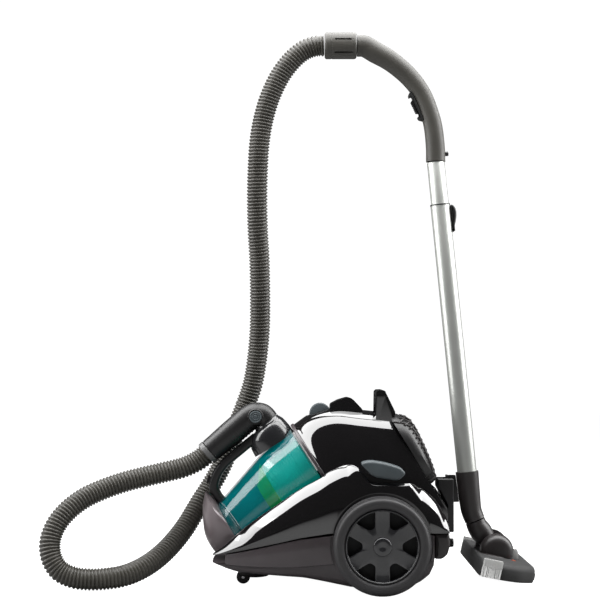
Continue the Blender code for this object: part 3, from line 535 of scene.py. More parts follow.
def on_tube(distance):
    return TUBE_LOW + TUBE_WAY * distance


def measured(origin, along, out, pairs):
    """Points given as distances in two directions from an origin."""
    return [origin + along * a + out * b for a, b in pairs]


def flat(pairs):
    return [Vector((x, 0.0, z)) for x, z in pairs]


def plan_width(x):
    """How wide the body is at x, as a share of its full width: it narrows towards the nose."""
    reach = min(max((x + 0.276) / 0.15, 0.0), 1.0)
    return 0.52 + 0.48 * math.sin(reach * math.pi / 2) ** 0.8


def level(x, points):
    """Height at x on a polyline of (x, z)."""
    for (x0, z0), (x1, z1) in zip(points, points[1:]):
        if x <= x1:
            t = min(max((x - x0) / (x1 - x0), 0.0), 1.0)
            return z0 + (z1 - z0) * t
    return points[-1][1]


# ---------------------------------------------------------------- hose

HOSE_ROUTE = [
    (-0.2778, 0.0, 0.2353), (-0.2975, 0.0, 0.219), (-0.324, -0.002, 0.206),
    (-0.36, -0.006, 0.197), (-0.396, -0.012, 0.189), (-0.432, -0.02, 0.18),
    (-0.467, -0.03, 0.168), (-0.497, -0.042, 0.154), (-0.523, -0.056, 0.134),
    (-0.541, -0.068, 0.11), (-0.549, -0.078, 0.083), (-0.545, -0.085, 0.057),
    (-0.531, -0.088, 0.036), (-0.508, -0.089, 0.0245), (-0.48, -0.087, 0.0206),
    (-0.453, -0.081, 0.0206), (-0.423, -0.068, 0.0235), (-0.391, -0.045, 0.0345),
    (-0.359, -0.012, 0.056), (-0.327, 0.023, 0.092), (-0.299, 0.048, 0.138),
    (-0.28, 0.059, 0.168), (-0.263, 0.062, 0.199), (-0.246, 0.063, 0.239),
    (-0.2315, 0.063, 0.278), (-0.217, 0.062, 0.315), (-0.204, 0.06, 0.354),
    (-0.196, 0.056, 0.4), (-0.191, 0.048, 0.453), (-0.19, 0.038, 0.507),
    (-0.191, 0.026, 0.58), (-0.1938, 0.016, 0.633), (-0.1947, 0.008, 0.687),
    (-0.1936, 0.003, 0.74), (-0.19, 0.0, 0.794), (-0.182, 0.0, 0.839),
    (-0.169, 0.0, 0.88), (-0.149, 0.0, 0.919), (-0.125, 0.0, 0.948),
    (-0.106, 0.0, 0.9615), (-0.088, 0.0, 0.9672), (-0.0735, 0.0, 0.968),
]
HOSE_SPLIT = 25
HOSE_PITCH = 0.006
HOSE_STEP = 0.00075
HOSE_CORE = 0.016
HOSE_RIDGE = 0.003


def evenly(points, step):
    """The polyline's points at even steps, with the distance of each."""
    made, run, due = [(points[0], 0.0)], 0.0, step
    for a, b in zip(points, points[1:]):
        length = (b - a).length
        while due <= run + length:
            made.append((a.lerp(b, (due - run) / length), due))
            due += step
        run += length
    return made


def hose(name, node, places, look):
    """Corrugated tube with one spiral ridge; places hold (point, distance along the hose)."""
    path = [p for p, _ in places]
    ways = ways_along(path)
    side = ways[0].cross(UP).normalized()
    rings = []
    for (point, run), way in zip(places, ways):
        side = (side - way * side.dot(way)).normalized()
        across = way.cross(side)
        ring = []
        for turn in full_turn(28):
            wave = 0.5 + 0.5 * math.cos(math.tau * run / HOSE_PITCH - turn)
            radius = HOSE_CORE + HOSE_RIDGE * wave ** 0.6
            ring.append(point + radius * (side * math.cos(turn) + across * math.sin(turn)))
        rings.append(ring)
    obj = piece(name, loft(rings), None, look, (node,), angle=70.0, held=False)
    return obj, path


def hoses():
    whole = along_curve(HOSE_ROUTE, 12)
    places = evenly(whole, HOSE_STEP)
    split = Vector(HOSE_ROUTE[HOSE_SPLIT])
    cut = min(range(len(places)), key=lambda i: (places[i][0] - split).length)
    low, low_path = hose("hose_low_run", "hose_lower", places[:cut + 1], "hose_grey")
    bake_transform(low)
    high, high_path = hose("hose_high_run", "hose_upper", places[cut:], "hose_grey")
    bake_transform(high)


camera()
hoses()
studio()
ground()


# ---------------------------------------------------------------- canister, lower body

HULL_LOW = [
    (-0.274, 0.0475), (-0.271, 0.043), (-0.262, 0.036), (-0.246, 0.03), (-0.228, 0.0255),
    (-0.19, 0.0225), (-0.162, 0.0212), (-0.117, 0.0185), (-0.085, 0.0155), (-0.055, 0.012),
    (-0.026, 0.0085), (0.02, 0.008), (0.06, 0.0082), (0.077, 0.0115), (0.092, 0.0195),
    (0.106, 0.031), (0.112, 0.045),
]
HULL_HIGH = [
    (-0.274, 0.0485), (-0.271, 0.052), (-0.262, 0.0565), (-0.246, 0.0615), (-0.22, 0.0675),
    (-0.186, 0.0755), (-0.15, 0.0845), (-0.117, 0.0915), (-0.064, 0.098), (0.112, 0.0995),
]
CREASE = [(-0.274, 0.047), (-0.24, 0.044), (-0.205, 0.0435), (-0.13, 0.044), (-0.05, 0.05),
          (0.112, 0.055)]
ARCH_CENTRE_Y = 0.109


def hull_ring(x):
    """Half of a cross-section from the keel up to the deck, then its mirror."""
    low, high = level(x, HULL_LOW), level(x, HULL_HIGH)
    tall = high - low
    wide = HALF_BODY * plan_width(x)
    lift = 0.01 * min(max((-0.03 - x) / 0.08, 0.0), 1.0) * min(1.0, tall / 0.024)
    foot = min(0.012, tall * 0.4)
    lip = min(0.0025, tall * 0.2)
    crease = min(max(level(x, CREASE), low + foot + 0.0012), high - lip - 0.0012)
    tuck = min(0.0075, wide * 0.1, tall * 0.22)
    half = [(wide * f, low) for f in (0.0, 0.35, 0.7)]
    half += [(wide - tuck - foot * (1 - math.sin(t)), low + foot * (1 - math.cos(t)))
             for t in (0.0, 0.4, 0.8, 1.2, math.pi / 2)]
    half += [(wide - tuck * 0.72, low + foot + (crease - low - foot) * 0.5),
             (wide - tuck * 0.42, crease - 0.0006)]
    half += [(wide - 0.0004, crease + 0.0008), (wide, crease + 0.003 * min(1.0, tall / 0.03))]
    half += [(wide, crease + (high - lip - crease) * 0.6), (wide, high - lip)]
    half += [(wide - lip * 0.3, high - lip * 0.3), (wide - lip, high), (wide * 0.7, high), (0.0, high)]
    raised = []
    for y, z in half:
        share = max(0.0, 1.0 - (z - low) / max(crease - low, 1e-4))
        raised.append((y, z + lift * (y / wide) ** 2 * share))
    ring = [Vector((x, y, z)) for y, z in raised]
    return ring + [Vector((x, -y, z)) for y, z in raised[-2:0:-1]]


def arch(way):
    return turned((WHEEL_X, way * ARCH_CENTRE_Y, WHEEL_RADIUS), (0, way, 0), [(0, 0.088), (0.05, 0.088)],
                  count=96)


def lower_body():
    stations = [-0.2738, -0.2725, -0.27, -0.266, -0.261, -0.255]
    stations += [-0.248 + 0.0075 * i for i in range(48)] + [0.1108, 0.112]
    under_bin = [(-0.3, 0.0445), (-0.2005, 0.0445), (-0.112, 0.102), (-0.1, 0.14), (-0.3, 0.14)]
    tray = [(-0.046, 0.016), (0.07, 0.016), (0.1, 0.034), (0.1, 0.12), (-0.046, 0.12)]
    cuts = [
        slab(rounded(under_bin, 0.004), -0.0805, 0.0805),
        slab(rounded(tray, 0.004), -0.074, 0.074),
        turned(CASTER_SWIVEL, UP, [(0, 0.037), (0.034, 0.037)]),
        turned(CASTER_SWIVEL, UP, [(0.03, 0.0055), (0.041, 0.0055)]),
        arch(-1),
        arch(1),
    ]
    for way in (-1, 1):
        cuts.append(turned((WHEEL_X, way * 0.088, WHEEL_RADIUS), (0, way, 0),
                           [(0, 0.0054), (0.04, 0.0054)], count=32))
    piece("hull", loft([hull_ring(x) for x in stations]), "canister", "satin_grey", ("chassis",), cuts,
          angle=28.0)
    cradle = [(-0.108, 0.1025), (-0.056, 0.136), (-0.051, 0.136), (-0.051, 0.1025)]
    piece("cradle", slab(cradle, -0.079, 0.079, 0.0015), "canister", "dark_grey", ("bin_cradle",))


FENDER_OVER = [
    (0.1382, 0.106), (0.1378, 0.113), (0.136, 0.1225), (0.128, 0.139), (0.118, 0.1545), (0.106, 0.1665),
    (0.089, 0.1785), (0.0725, 0.1865), (0.066, 0.1862), (0.053, 0.1856), (0.03, 0.1862), (0.0065, 0.188),
    (-0.004, 0.1965), (-0.017, 0.212), (-0.026, 0.2168), (-0.04, 0.216), (-0.066, 0.205),
    (-0.086, 0.192), (-0.117, 0.175), (-0.151, 0.152), (-0.186, 0.128), (-0.223, 0.0995), (-0.25, 0.0745),
    (-0.262, 0.066), (-0.268, 0.0622),
]
FENDER_UNDER = [
    (-0.268, 0.059), (-0.236, 0.0655), (-0.186, 0.0775), (-0.117, 0.0935), (-0.064, 0.1015),
    (0.14, 0.1015),
]


def fender_ring(x, high, way):
    """A section of the shoulder, rounded generously along its top outer edge."""
    low = level(x, FENDER_UNDER)
    inner = min(0.0815, 0.062 + (x + 0.25) * 0.13)
    outer = HALF_BODY * plan_width(x) + 0.0035 - 0.004 * min(max((x - 0.122) / 0.016, 0.0), 1.0) ** 2
    ends = min(max((x + 0.036) / 0.02, 0.0), 1.0) * min(max((0.09 - x) / 0.02, 0.0), 1.0)
    ease = min(0.021 * (1.0 - 0.8 * ends), (high - low) * 0.62, (outer - inner) * 0.75)
    bow = 0.006 * min(1.0, (high - low) / 0.06)
    edge = min(0.0022, (high - low) * 0.12)
    foot = outer - bow * 0.5
    half = [(inner + edge, low), (foot - edge, low), (foot - edge * 0.3, low + edge * 0.3)]
    side = high - ease - low - edge
    for k in range(7):
        rise = k / 7
        away = 0.5 * (1 - rise / 0.3) ** 2 if rise < 0.3 else ((rise - 0.3) / 0.7) ** 2
        half.append((outer - bow * away, low + edge + side * rise))
    turns = [math.pi / 2 * k / 11 for k in range(12)]
    half += [(outer - bow - ease * (1 - math.cos(t) ** 1.72), high - ease * (1 - math.sin(t) ** 1.72))
             for t in turns]
    half += [(inner + edge, high), (inner + edge * 0.3, high - edge * 0.3), (inner, high - edge),
             (inner, low + edge)]
    return [Vector((x, way * y, z)) for y, z in half]


def fenders():
    """Glossy shoulders over the wheels, each lowered under its pedal."""
    over = along_curve([(x, z, 0.0) for x, z in FENDER_OVER], 6)
    for side, way in SIDES:
        rings = [fender_ring(p.x, p.y, way) for p in over]
        piece("shoulder_" + side, loft(rings), "canister", "piano_black", ("fender_" + side,),
              [arch(way)], angle=40.0)


def pedals():
    outline = rounded([
        (-0.015, 0.2215), (0.0085, 0.1975), (0.052, 0.191), (0.0645, 0.2045), (0.055, 0.2137),
        (0.03, 0.2215), (0.003, 0.2257),
    ], 0.01, steps=5)
    for name, way in (("power_pedal", -1), ("rewind_pedal", 1)):
        pad = side_slab(outline, way, 0.0825, 0.1165, 0.0045, 5)
        piece(name + "_pad", pad, name, "matte_blue_grey", (name,), angle=50.0)


# ---------------------------------------------------------------- canister, upper body

def cover_rings(shrink=0.0, ends=0.0):
    stations = [
        (at_bin(0.19 - ends, -0.114), at_bin(0.19 - ends, 0.044), 0.079, 2.0),
        ((0.03, 0, 0.0), (-0.098, 0, 0.302), 0.08, 2.2),
        ((0.05, 0, 0.0), (-0.058, 0, 0.3125), 0.08, 2.4),
        ((0.08, 0, 0.0), (-0.01, 0, 0.3085), 0.08, 2.6),
        (at_rear(0.35, ends), at_rear(0.0, ends), 0.078, 2.6),
    ]
    rings = []
    for low, high, half, power in stations:
        low, high = Vector(low), Vector(high)
        way = (high - low).normalized()
        rings.append(section(low + way * shrink, high - way * shrink, half - shrink, 72, power))
    return smooth_rings(rings, 6)


def upper_cover():
    console = rounded([
        (-0.064, 0.295), (-0.0635, 0.319), (-0.05, 0.3262), (-0.033, 0.3312), (-0.0235, 0.3285),
        (-0.006, 0.31), (-0.006, 0.295),
    ], 0.003)
    cuts = [
        loft(cover_rings(0.003, 0.004)),
        box((-0.2, -0.2, -0.1), (0.3, 0.2, 0.1045)),
        box((0.139, -0.2, 0.0), (0.3, 0.2, 0.1385)),
        box((-0.104, -0.0125, 0.27), (-0.058, 0.0125, 0.34)),
    ]
    joins = [slab(console, -0.03, 0.03)]
    piece("cover", loft(cover_rings()), "canister", "piano_black", ("upper_cover",), cuts, joins, 0.0012,
          32.0)


def back_panel():
    panel = [
        at_rear(0.152, -0.003), at_rear(0.19, -0.003), Vector((0.1345, 0, 0.104)),
        Vector((0.1388, 0, 0.104)), Vector((0.1388, 0, 0.14)), at_rear(0.152, 0.004),
    ]
    piece("back_panel", slab(panel, -0.0725, 0.0725), "canister", "piano_black", ("rear_panel",),
          bevel=0.0008)


def collar():
    band = [(0.0, 0.0815), (0.006, 0.0815), (0.006, 0.0725), (0.0, 0.0725)]
    ring = turned(at_bin(0.1835, -0.035), BIN_WAY, band, closed=True, count=96, ease=0.0016)
    piece("collar", ring, "canister", "satin_grey", ("collar_ring",))


def suction_dial():
    """Thumb wheel with thirty fine ridges and a pale mark."""
    rings = []
    rim = [(-0.01, 0.0168), (-0.0094, 0.0184), (-0.008, 0.0193)]
    for along, radius in rim + [(-a, r) for a, r in rim[::-1]]:
        ring = []
        for turn in full_turn(120):
            grip = 0.00035 * math.cos(30 * turn) if abs(along) < 0.0085 else 0.0
            reach = radius + grip
            ring.append(DIAL_CENTRE + Vector((reach * math.cos(turn), along, reach * math.sin(turn))))
        rings.append(ring)
    piece("dial", loft(rings), "suction_dial", "matte_blue_grey", ("suction_dial",))
    mark = turned(DIAL_CENTRE + Vector((0.0, 0.0, 0.0188)), UP, [(0.0, 0.0016), (0.0008, 0.0014)],
                  count=20)
    piece("dial_mark", mark, "suction_dial", "light_grey")


def carry_handle():
    grip = rounded([
        (0.018, 0.329), (0.034, 0.329), (0.0345, 0.342), (0.03, 0.3445), (0.021, 0.344),
        (0.0175, 0.34),
    ], 0.005)
    post = rounded([
        (0.0165, 0.285), (0.0175, 0.341), (0.021, 0.3443), (0.03, 0.344), (0.035, 0.339), (0.051, 0.306),
        (0.048, 0.285),
    ], 0.0015)
    joins = [slab(post, -0.045, -0.033), slab(post, 0.033, 0.045)]
    piece("top_handle", slab(grip, -0.046, 0.046), "canister", "piano_black", ("carry_handle",), (),
          joins, 0.002, 35.0)


GRILLE = [
    (0.0006, 0.002, 0.15, 0.076), (0.006, 0.0045, 0.15, 0.075), (0.013, 0.01, 0.148, 0.073),
    (0.0175, 0.015, 0.133, 0.069), (0.021, 0.02, 0.115, 0.064), (0.0248, 0.0258, 0.088, 0.056),
    (0.0275, 0.031, 0.06, 0.046),
]


def grille_height(down, y):
    """How far the grille's dome stands off the slanted plane."""
    best = 0.0
    for (o0, t0, b0, h0), (o1, t1, b1, h1) in zip(GRILLE, GRILLE[1:]):
        for k in range(9):
            f = k / 8
            out, top = o0 + (o1 - o0) * f, t0 + (t1 - t0) * f
            low, half = b0 + (b1 - b0) * f, h0 + (h1 - h0) * f
            across = abs((down - (top + low) / 2) / ((low - top) / 2)) ** 2.6 + abs(y / half) ** 2.6
            if across <= 1.0:
                best = out
    return best


def grille():
    outer = [section(at_rear(low, out), at_rear(top, out), half, 72, 2.6)
             for out, top, low, half in GRILLE]
    inner = []
    for out, top, low, half in GRILLE:
        within = out - 0.003 if out > 0.001 else -0.004
        inner.append(section(at_rear(low - 0.004, within), at_rear(top + 0.004, within), half - 0.003, 72,
                             2.6))
    cuts = [loft(inner)]
    for i in range(7):
        down, half = 0.03 + i * 0.0155, 0.045 - 0.0045 * abs(i - 2)
        corners = [(down, 0.004), (down + 0.007, 0.004), (down + 0.007, 0.04), (down, 0.04)]
        cuts.append(slab([at_rear(*corner) for corner in corners], -half, half))
    piece("grille", loft(outer), "canister", "matte_black", ("exhaust_grille",), cuts, angle=30.0)


def grille_bars():
    """The lattice that follows the grille's dome."""
    bars = []
    for i in range(13):
        down = 0.024 + i * 0.0096
        half = 0.069 - 0.0018 * abs(i - 5)
        ys = [-half + 2 * half * k / 24 for k in range(25)]
        rings = []
        for y in ys:
            out = grille_height(down, y)
            rings.append([at_rear(down + a, out + b, y) for a, b in
                          ((-0.0017, -0.001), (0.0017, -0.001), (0.0014, 0.0032), (0.0, 0.0044),
                           (-0.0014, 0.0032))])
        bars.append(loft(rings))
    for y in (-0.058, -0.045, -0.0225, 0.0, 0.0225, 0.045, 0.058):
        rings = []
        for k in range(25):
            down = 0.018 + 0.116 * k / 24
            out = grille_height(down, y)
            rings.append([at_rear(down, out + b, y + a) for a, b in
                          ((-0.0014, -0.001), (0.0014, -0.001), (0.0012, 0.0026), (0.0, 0.0034),
                           (-0.0012, 0.0026))])
        bars.append(loft(rings))
    piece("grille_bars", merged(*bars), "canister", "dark_grey")


def filter_pad():
    pleats = []
    for i in range(31):
        down = 0.0205 + 0.121 * i / 30
        pleats.append((down, -0.0048 if i % 2 else -0.0085))
    outline = [at_rear(d, o) for d, o in pleats] + [at_rear(0.1415, -0.016), at_rear(0.0205, -0.016)]
    piece("filter_pad", slab(outline, -0.046, 0.046), "canister", "filter_white", ("exhaust_filter",),
          angle=20.0)


def bumper():
    outline = rounded([
        (0.1125, 0.058), (0.126, 0.058), (0.135, 0.066), (0.1395, 0.082), (0.1385, 0.101),
        (0.1125, 0.101),
    ], 0.004)
    piece("bumper", slab(outline, -0.112, 0.112, 0.006, 4), "canister", "dark_grey", ("rear_bumper",))


def wand_bracket():
    body = rounded([
        (0.14, 0.0925), (0.156, 0.0925), (0.156, 0.187), (0.1265, 0.187), (0.1265, 0.172),
        (0.143, 0.14),
    ], 0.0025)
    cuts = [box((0.1385, -0.012, 0.139), (0.1515, 0.012, 0.2)),
            box((0.15, -0.0048, 0.139), (0.17, 0.0048, 0.2))]
    piece("wand_bracket", slab(body, -0.022, 0.022, 0.003), "canister", "matte_black", ("park_bracket",),
          cuts)


def cord_gland():
    sleeve = [(0, 0.0105), (0.004, 0.0105)]
    for i in range(5):
        run = 0.0045 + i * 0.0024
        sleeve += [(run, 0.0078 - i * 0.0002), (run + 0.0012, 0.0078 - i * 0.0002),
                   (run + 0.0013, 0.009 - i * 0.0003),
                   (run + 0.0023, 0.009 - i * 0.0003)]
    sleeve += [(0.017, 0.0072), (0.017, 0.0045), (0.004, 0.0045)]
    piece("gland", turned((0.14, 0, 0.0715), (1, 0, 0), sleeve, count=40), "canister", "matte_black",
          ("cord_gland",))


# ---------------------------------------------------------------- wheels

def tyre(side, way):
    """Rounded tyre with five fine grooves in its tread."""
    axis, body = (0, way, 0), "rear_wheel_" + side
    tread = []
    for k in range(5):
        y = 0.1185 + k * 0.0052
        tread += [(y, 0.083), (y + 0.0002, 0.082), (y + 0.001, 0.082), (y + 0.0012, 0.083)]
    outline = [(0.1125, 0.063), (0.1125, 0.0775), (0.1136, 0.0808), (0.116, 0.0828)] + tread
    outline += [(0.1398, 0.0829), (0.1408, 0.082), (0.1412, 0.0808), (0.1416, 0.08), (0.1432, 0.0786),
                (0.1445, 0.0762)]
    outline += [(0.145, 0.073), (0.1447, 0.0698), (0.1438, 0.0672), (0.1424, 0.0652), (0.1412, 0.064),
                (0.1405, 0.0631)]
    ring = turned(WHEEL_HUB, axis, outline, closed=True, count=128)
    piece("tread_" + side, ring, body, "tyre_grey", ("tyre_" + side,), angle=40.0)


def wheel_disc(side, way):
    """Disc with six deep pockets between its spokes."""
    axis, body = (0, way, 0), "rear_wheel_" + side
    profile = [
        (0.1165, 0.0052), (0.1165, 0.0625), (0.1405, 0.0625), (0.1421, 0.062), (0.1427, 0.0608),
        (0.142, 0.0597), (0.1405, 0.059), (0.1398, 0.04), (0.14, 0.02), (0.14, 0.0052),
    ]
    cuts = []
    for i in range(6):
        turn = math.tau * i / 6
        reach = math.atan2(0.0184, 0.056)
        outline = [(0.0335, 0.0055), (0.0335, -0.0055)]
        outline += [(0.059 * math.cos(t), 0.059 * math.sin(t))
                    for t in [-reach + 2 * reach * k / 10 for k in range(11)]]
        outline = rounded(outline, 0.0045)
        c, s = math.cos(turn), math.sin(turn)
        turned_outline = [(WHEEL_HUB.x + c * a - s * b, WHEEL_HUB.z + s * a + c * b) for a, b in outline]
        cuts.append(side_slab(turned_outline, way, 0.124, 0.15))
    disc = turned(WHEEL_HUB, axis, profile, closed=True, count=128)
    piece("spokes_" + side, disc, body, "disc_black", ("wheel_disc_" + side,), cuts, bevel=0.001,
          angle=38.0)


def pockets(side, way):
    """Near-black floor in the pockets: painted shade in the recesses between the spokes."""
    axis, body = (0, way, 0), "rear_wheel_" + side
    ground = [(0.1236, 0.03), (0.1236, 0.0596), (0.1248, 0.0596), (0.1248, 0.03)]
    piece("pockets_" + side, turned(WHEEL_HUB, axis, ground, closed=True, count=96), body, "pocket_painted_shade")


def hub_cap(side, way):
    """Hub cap, and the axle in the machine."""
    axis, body = (0, way, 0), "rear_wheel_" + side
    cap = [(0.1385, 0.0158), (0.1428, 0.0158), (0.144, 0.0152), (0.1449, 0.0136), (0.1455, 0.011),
           (0.1455, 0.003),
           (0.145, 0.0022), (0.1446, 0.001)]
    piece("hub_cap_" + side, turned(WHEEL_HUB, axis, cap, count=72), body, "disc_black", angle=50.0)
    piece("axle_pin_" + side, turned(WHEEL_HUB, axis, [(0.089, 0.005), (0.1385, 0.005)], count=32),
          "canister", "steel", ("axle_" + side,))


def rear_wheels():
    for side, way in SIDES:
        tyre(side, way)
        wheel_disc(side, way)
        pockets(side, way)
        hub_cap(side, way)


def caster():
    arm = rounded([(-0.224, 0.008), (-0.212, 0.008), (-0.192, 0.0265), (-0.192, 0.0315),
                   (-0.214, 0.0315)], 0.003)
    joins = [slab(arm, -0.0115, -0.0085), slab(arm, 0.0085, 0.0115),
             turned(CASTER_SWIVEL, UP, [(0.03, 0.005), (0.0395, 0.005)], count=32)]
    slot = box((-0.232, -0.0084, 0.0), (-0.204, 0.0084, 0.0255))
    bore = turned(CASTER_HUB, MIDDLE, [(-0.02, 0.00205), (0.02, 0.00205)], count=24)
    dome = [(0.013, 0.02), (0.0136, 0.0235), (0.015, 0.0262), (0.0175, 0.0281), (0.0205, 0.0293),
            (0.0245, 0.03),
            (0.032, 0.03)]
    piece("caster_yoke", turned(CASTER_SWIVEL, UP, dome), "caster", "dark_grey", ("caster_fork",),
          [slot, bore], joins, 0.0006)
    roller = [(-0.008, 0.0021), (-0.008, 0.0108), (-0.0068, 0.012), (0.0068, 0.012), (0.008, 0.0108),
              (0.008, 0.0021)]
    piece("caster_roller_tyre", turned(CASTER_HUB, MIDDLE, roller, closed=True, count=64),
          "caster_roller", "tyre_grey", ("caster_wheel",))
    pin = [(-0.013, 0.0026), (-0.0117, 0.003), (-0.0117, 0.002), (0.0117, 0.002), (0.0117, 0.003),
           (0.013, 0.0026)]
    piece("caster_pin", turned(CASTER_HUB, MIDDLE, pin, count=24), "caster", "steel", ("caster_axle",))


# ---------------------------------------------------------------- dust bin

def bin_ring(s, shrink=0.0):
    radius = (bin_top(s) - BIN_LOW_T) / 2 - shrink
    return section(at_bin(s, BIN_LOW_T + shrink), at_bin(s, bin_top(s) - shrink), radius, count=96)


def dust_bin():
    inside = [0.1775 - 0.1775 * k / 14 for k in range(14)] + [0.0]
    outside = [0.0, 0.0012] + [0.18 * k / 14 for k in range(1, 15)]
    rings = [bin_ring(s, 0.0025) for s in inside] + [bin_ring(s, 0.0003 if s == 0.0 else 0.0)
                                                     for s in outside]
    piece("bin_cup", loft(rings), "bin", "bin_teal", ("dust_bin",), angle=30.0)


def cyclone():
    """Filter cage with its ribs, and the funnel in front of it; both glow with painted light."""
    shroud = [(0.1, 0.0465), (0.1015, 0.048), (0.105, 0.048), (0.106, 0.047)]
    for k in range(11):
        run = 0.1075 + k * 0.005
        grow = 0.008 * (run - 0.1) / 0.065
        shroud += [(run, 0.0468 + grow), (run + 0.003, 0.0468 + grow), (run + 0.0034, 0.048 + grow),
                   (run + 0.0046, 0.048 + grow)]
    shroud += [(0.166, 0.056), (0.1765, 0.056)]
    piece("filter_cage", turned(at_bin(0, -0.036), BIN_WAY, shroud, count=96), "bin", "filter_cyan",
          ("cyclone_filter",), angle=40.0)
    funnel = [(0.075, 0.028), (0.08, 0.0335), (0.096, 0.0545), (0.0995, 0.058), (0.0995, 0.0495),
              (0.079, 0.022)]
    piece("funnel", turned(at_bin(0, -0.04), BIN_WAY, funnel, closed=True, count=96), "bin",
          "funnel_green", ("cyclone_funnel",))


def bin_insides():
    """Tinted lining on the far wall, and the sloping tray at the bottom; both glow with painted light."""
    lining = []
    for s in [0.004 + 0.172 * k / 12 for k in range(13)]:
        outer, inner = bin_ring(s, 0.0028), bin_ring(s, 0.0036)
        far = range(-21, 22)
        lining.append([outer[i] for i in far] + [inner[i] for i in reversed(far)])
    piece("bin_lining", loft(lining), "bin", "lining_teal")
    strip = [(-0.03, 0.1015), (-0.03, 0.1765), (0.03, 0.1765), (0.03, 0.1015)]
    tray = []
    for drop in (-0.1085, -0.097):
        tray.append([at_bin(s, drop, y * (0.62 if drop < -0.1 else 1.0)) for y, s in strip])
    piece("tray", loft(tray), "bin", "tray_green", bevel=0.0012)


def bin_door():
    stack = [
        (-0.0006, -0.1115, 0.004, 0.056), (-0.004, -0.11, 0.02, 0.0556), (-0.008, -0.1065, 0.031, 0.054),
        (-0.016, -0.1005, 0.0225, 0.0512), (-0.025, -0.093, 0.013, 0.047),
        (-0.033, -0.0868, 0.001, 0.0422),
        (-0.04, -0.081, -0.012, 0.036), (-0.0455, -0.0768, -0.0225, 0.0305),
        (-0.0485, -0.0742, -0.03, 0.0262), (-0.05, -0.073, -0.036, 0.022),
    ]
    rings = [section(at_bin(s, low), at_bin(s, high), half, 96) for s, low, high, half in stack]
    piece("front_cap", loft(rings), "bin_door", "cap_mauve", ("bin_door",), angle=30.0)
    seal = [(0.0004, 0.053), (0.003, 0.053), (0.003, 0.049), (0.0004, 0.049)]
    piece("seal", turned(at_bin(0, -0.056), BIN_WAY, seal, closed=True, count=72, ease=0.001), "bin",
          "seal_black", ("door_seal",))


def bin_inlet():
    """Domed seat of the elbow and the socket on it."""
    levels = [
        (0.1, 0.1825, 0.036, 0.033), (0.1015, 0.182, 0.035, 0.048), (0.106, 0.1805, 0.033, 0.058),
        (0.112, 0.179, 0.03, 0.065), (0.119, 0.177, 0.0262, 0.069), (0.129, 0.1745, 0.0215, 0.0715),
    ]
    rings = []
    for start, end, half, t in levels:
        middle, reach = (start + end) / 2, (end - start) / 2
        rings.append([at_bin(middle + reach * math.cos(turn), t, half * math.sin(turn))
                      for turn in full_turn(72)])
    piece("dome", loft(rings), "bin", "disc_black", ("inlet_dome",), angle=50.0)
    socket = [(-0.002, 0.024), (0.0, 0.0275), (0.003, 0.0275), (0.0045, 0.0262), (0.007, 0.0258),
              (0.0082, 0.0246),
              (0.011, 0.024)]
    piece("inlet_socket", turned(at_bin(0.1505, 0.064), BIN_UP, socket, count=72), "bin", "disc_black")


def bin_handle():
    """Carrying grip of the bin, with its release latch in a seat."""
    route = [(0.0085, -0.002), (0.0065, 0.012), (0.009, 0.029), (0.026, 0.0445), (0.047, 0.053),
             (0.083, 0.058),
             (0.12, 0.062)]
    path = [at_bin(s, t) for s, t in route]
    grip = bar(path, [0.015, 0.016, 0.018, 0.0175, 0.017, 0.017, 0.017],
               [0.0115, 0.012, 0.013, 0.014, 0.014, 0.014, 0.013])
    middle = at_bin(0.017, 0.0362)
    along = (BIN_WAY * 0.737 + BIN_UP * 0.676).normalized()
    out = (BIN_UP * 0.737 - BIN_WAY * 0.676).normalized()
    latch = [(-0.009, 0.0118), (0.009, 0.0118), (0.007, 0.0148), (-0.007, 0.0148)]
    latch = rounded(measured(middle, along, out, latch), 0.0015)
    piece("latch", slab(latch, -0.008, 0.008, 0.0012), "bin_release", "dark_grey", ("bin_release",))
    stem = measured(middle, along, out,
                    [(-0.005, 0.0045), (0.005, 0.0045), (0.005, 0.0122), (-0.005, 0.0122)])
    seat = [(-0.0104, 0.0078), (0.0104, 0.0078), (0.0104, 0.02), (-0.0104, 0.02)]
    seat = slab(measured(middle, along, out, seat), -0.009, 0.009)
    piece("cup_handle", grip, "bin", "matte_black", ("bin_handle",), [seat], angle=45.0)
    piece("latch_stem", slab(stem, -0.0055, 0.0055), "bin_release", "dark_grey")


def elbow():
    centre = Vector((-0.194, 0.0, 0.277))
    path = []
    for k in range(7):
        turn = math.radians(30.0 + 101.6 * k / 6)
        path.append(centre + Vector((0.022 * math.cos(turn), 0.0, 0.022 * math.sin(turn))))
    straight = ELBOW_CUFF - path[-1]
    path += [path[-1] + straight * f for f in (0.5, 0.84, 1.0)]
    outers = [0.0205, 0.0212] + [0.0225] * 4 + [0.023, 0.0228, 0.0215, 0.0212]
    piece("elbow_pipe", pipe(path, outers, 0.0165, 64), "bin", "matte_black", ("hose_elbow",), angle=50.0)
    along = straight.normalized()
    across = Vector((-along.z, 0.0, along.x))
    if across.z > 0.0:
        across = -across
    for i in range(7):
        middle = path[6] + along * (0.004 + 0.0068 * i) + across * 0.0008
        band = [(-0.0012, 0.0219), (-0.0007, 0.0229), (0.0007, 0.0229), (0.0012, 0.0219)]
        rib = turned(middle, along, band, count=64)
        piece(f"elbow_rib_{i}", rib, "bin", "matte_black")
    ring = [(0.0014, 0.0194), (0.0014, 0.0218), (0.01, 0.0218), (0.01, 0.0194)]
    piece("cuff_band", turned(ELBOW_CUFF, ELBOW_CUFF_WAY, ring, closed=True, count=72, ease=0.0008),
          "bin", "band_grey", ("elbow_cuff_ring",))


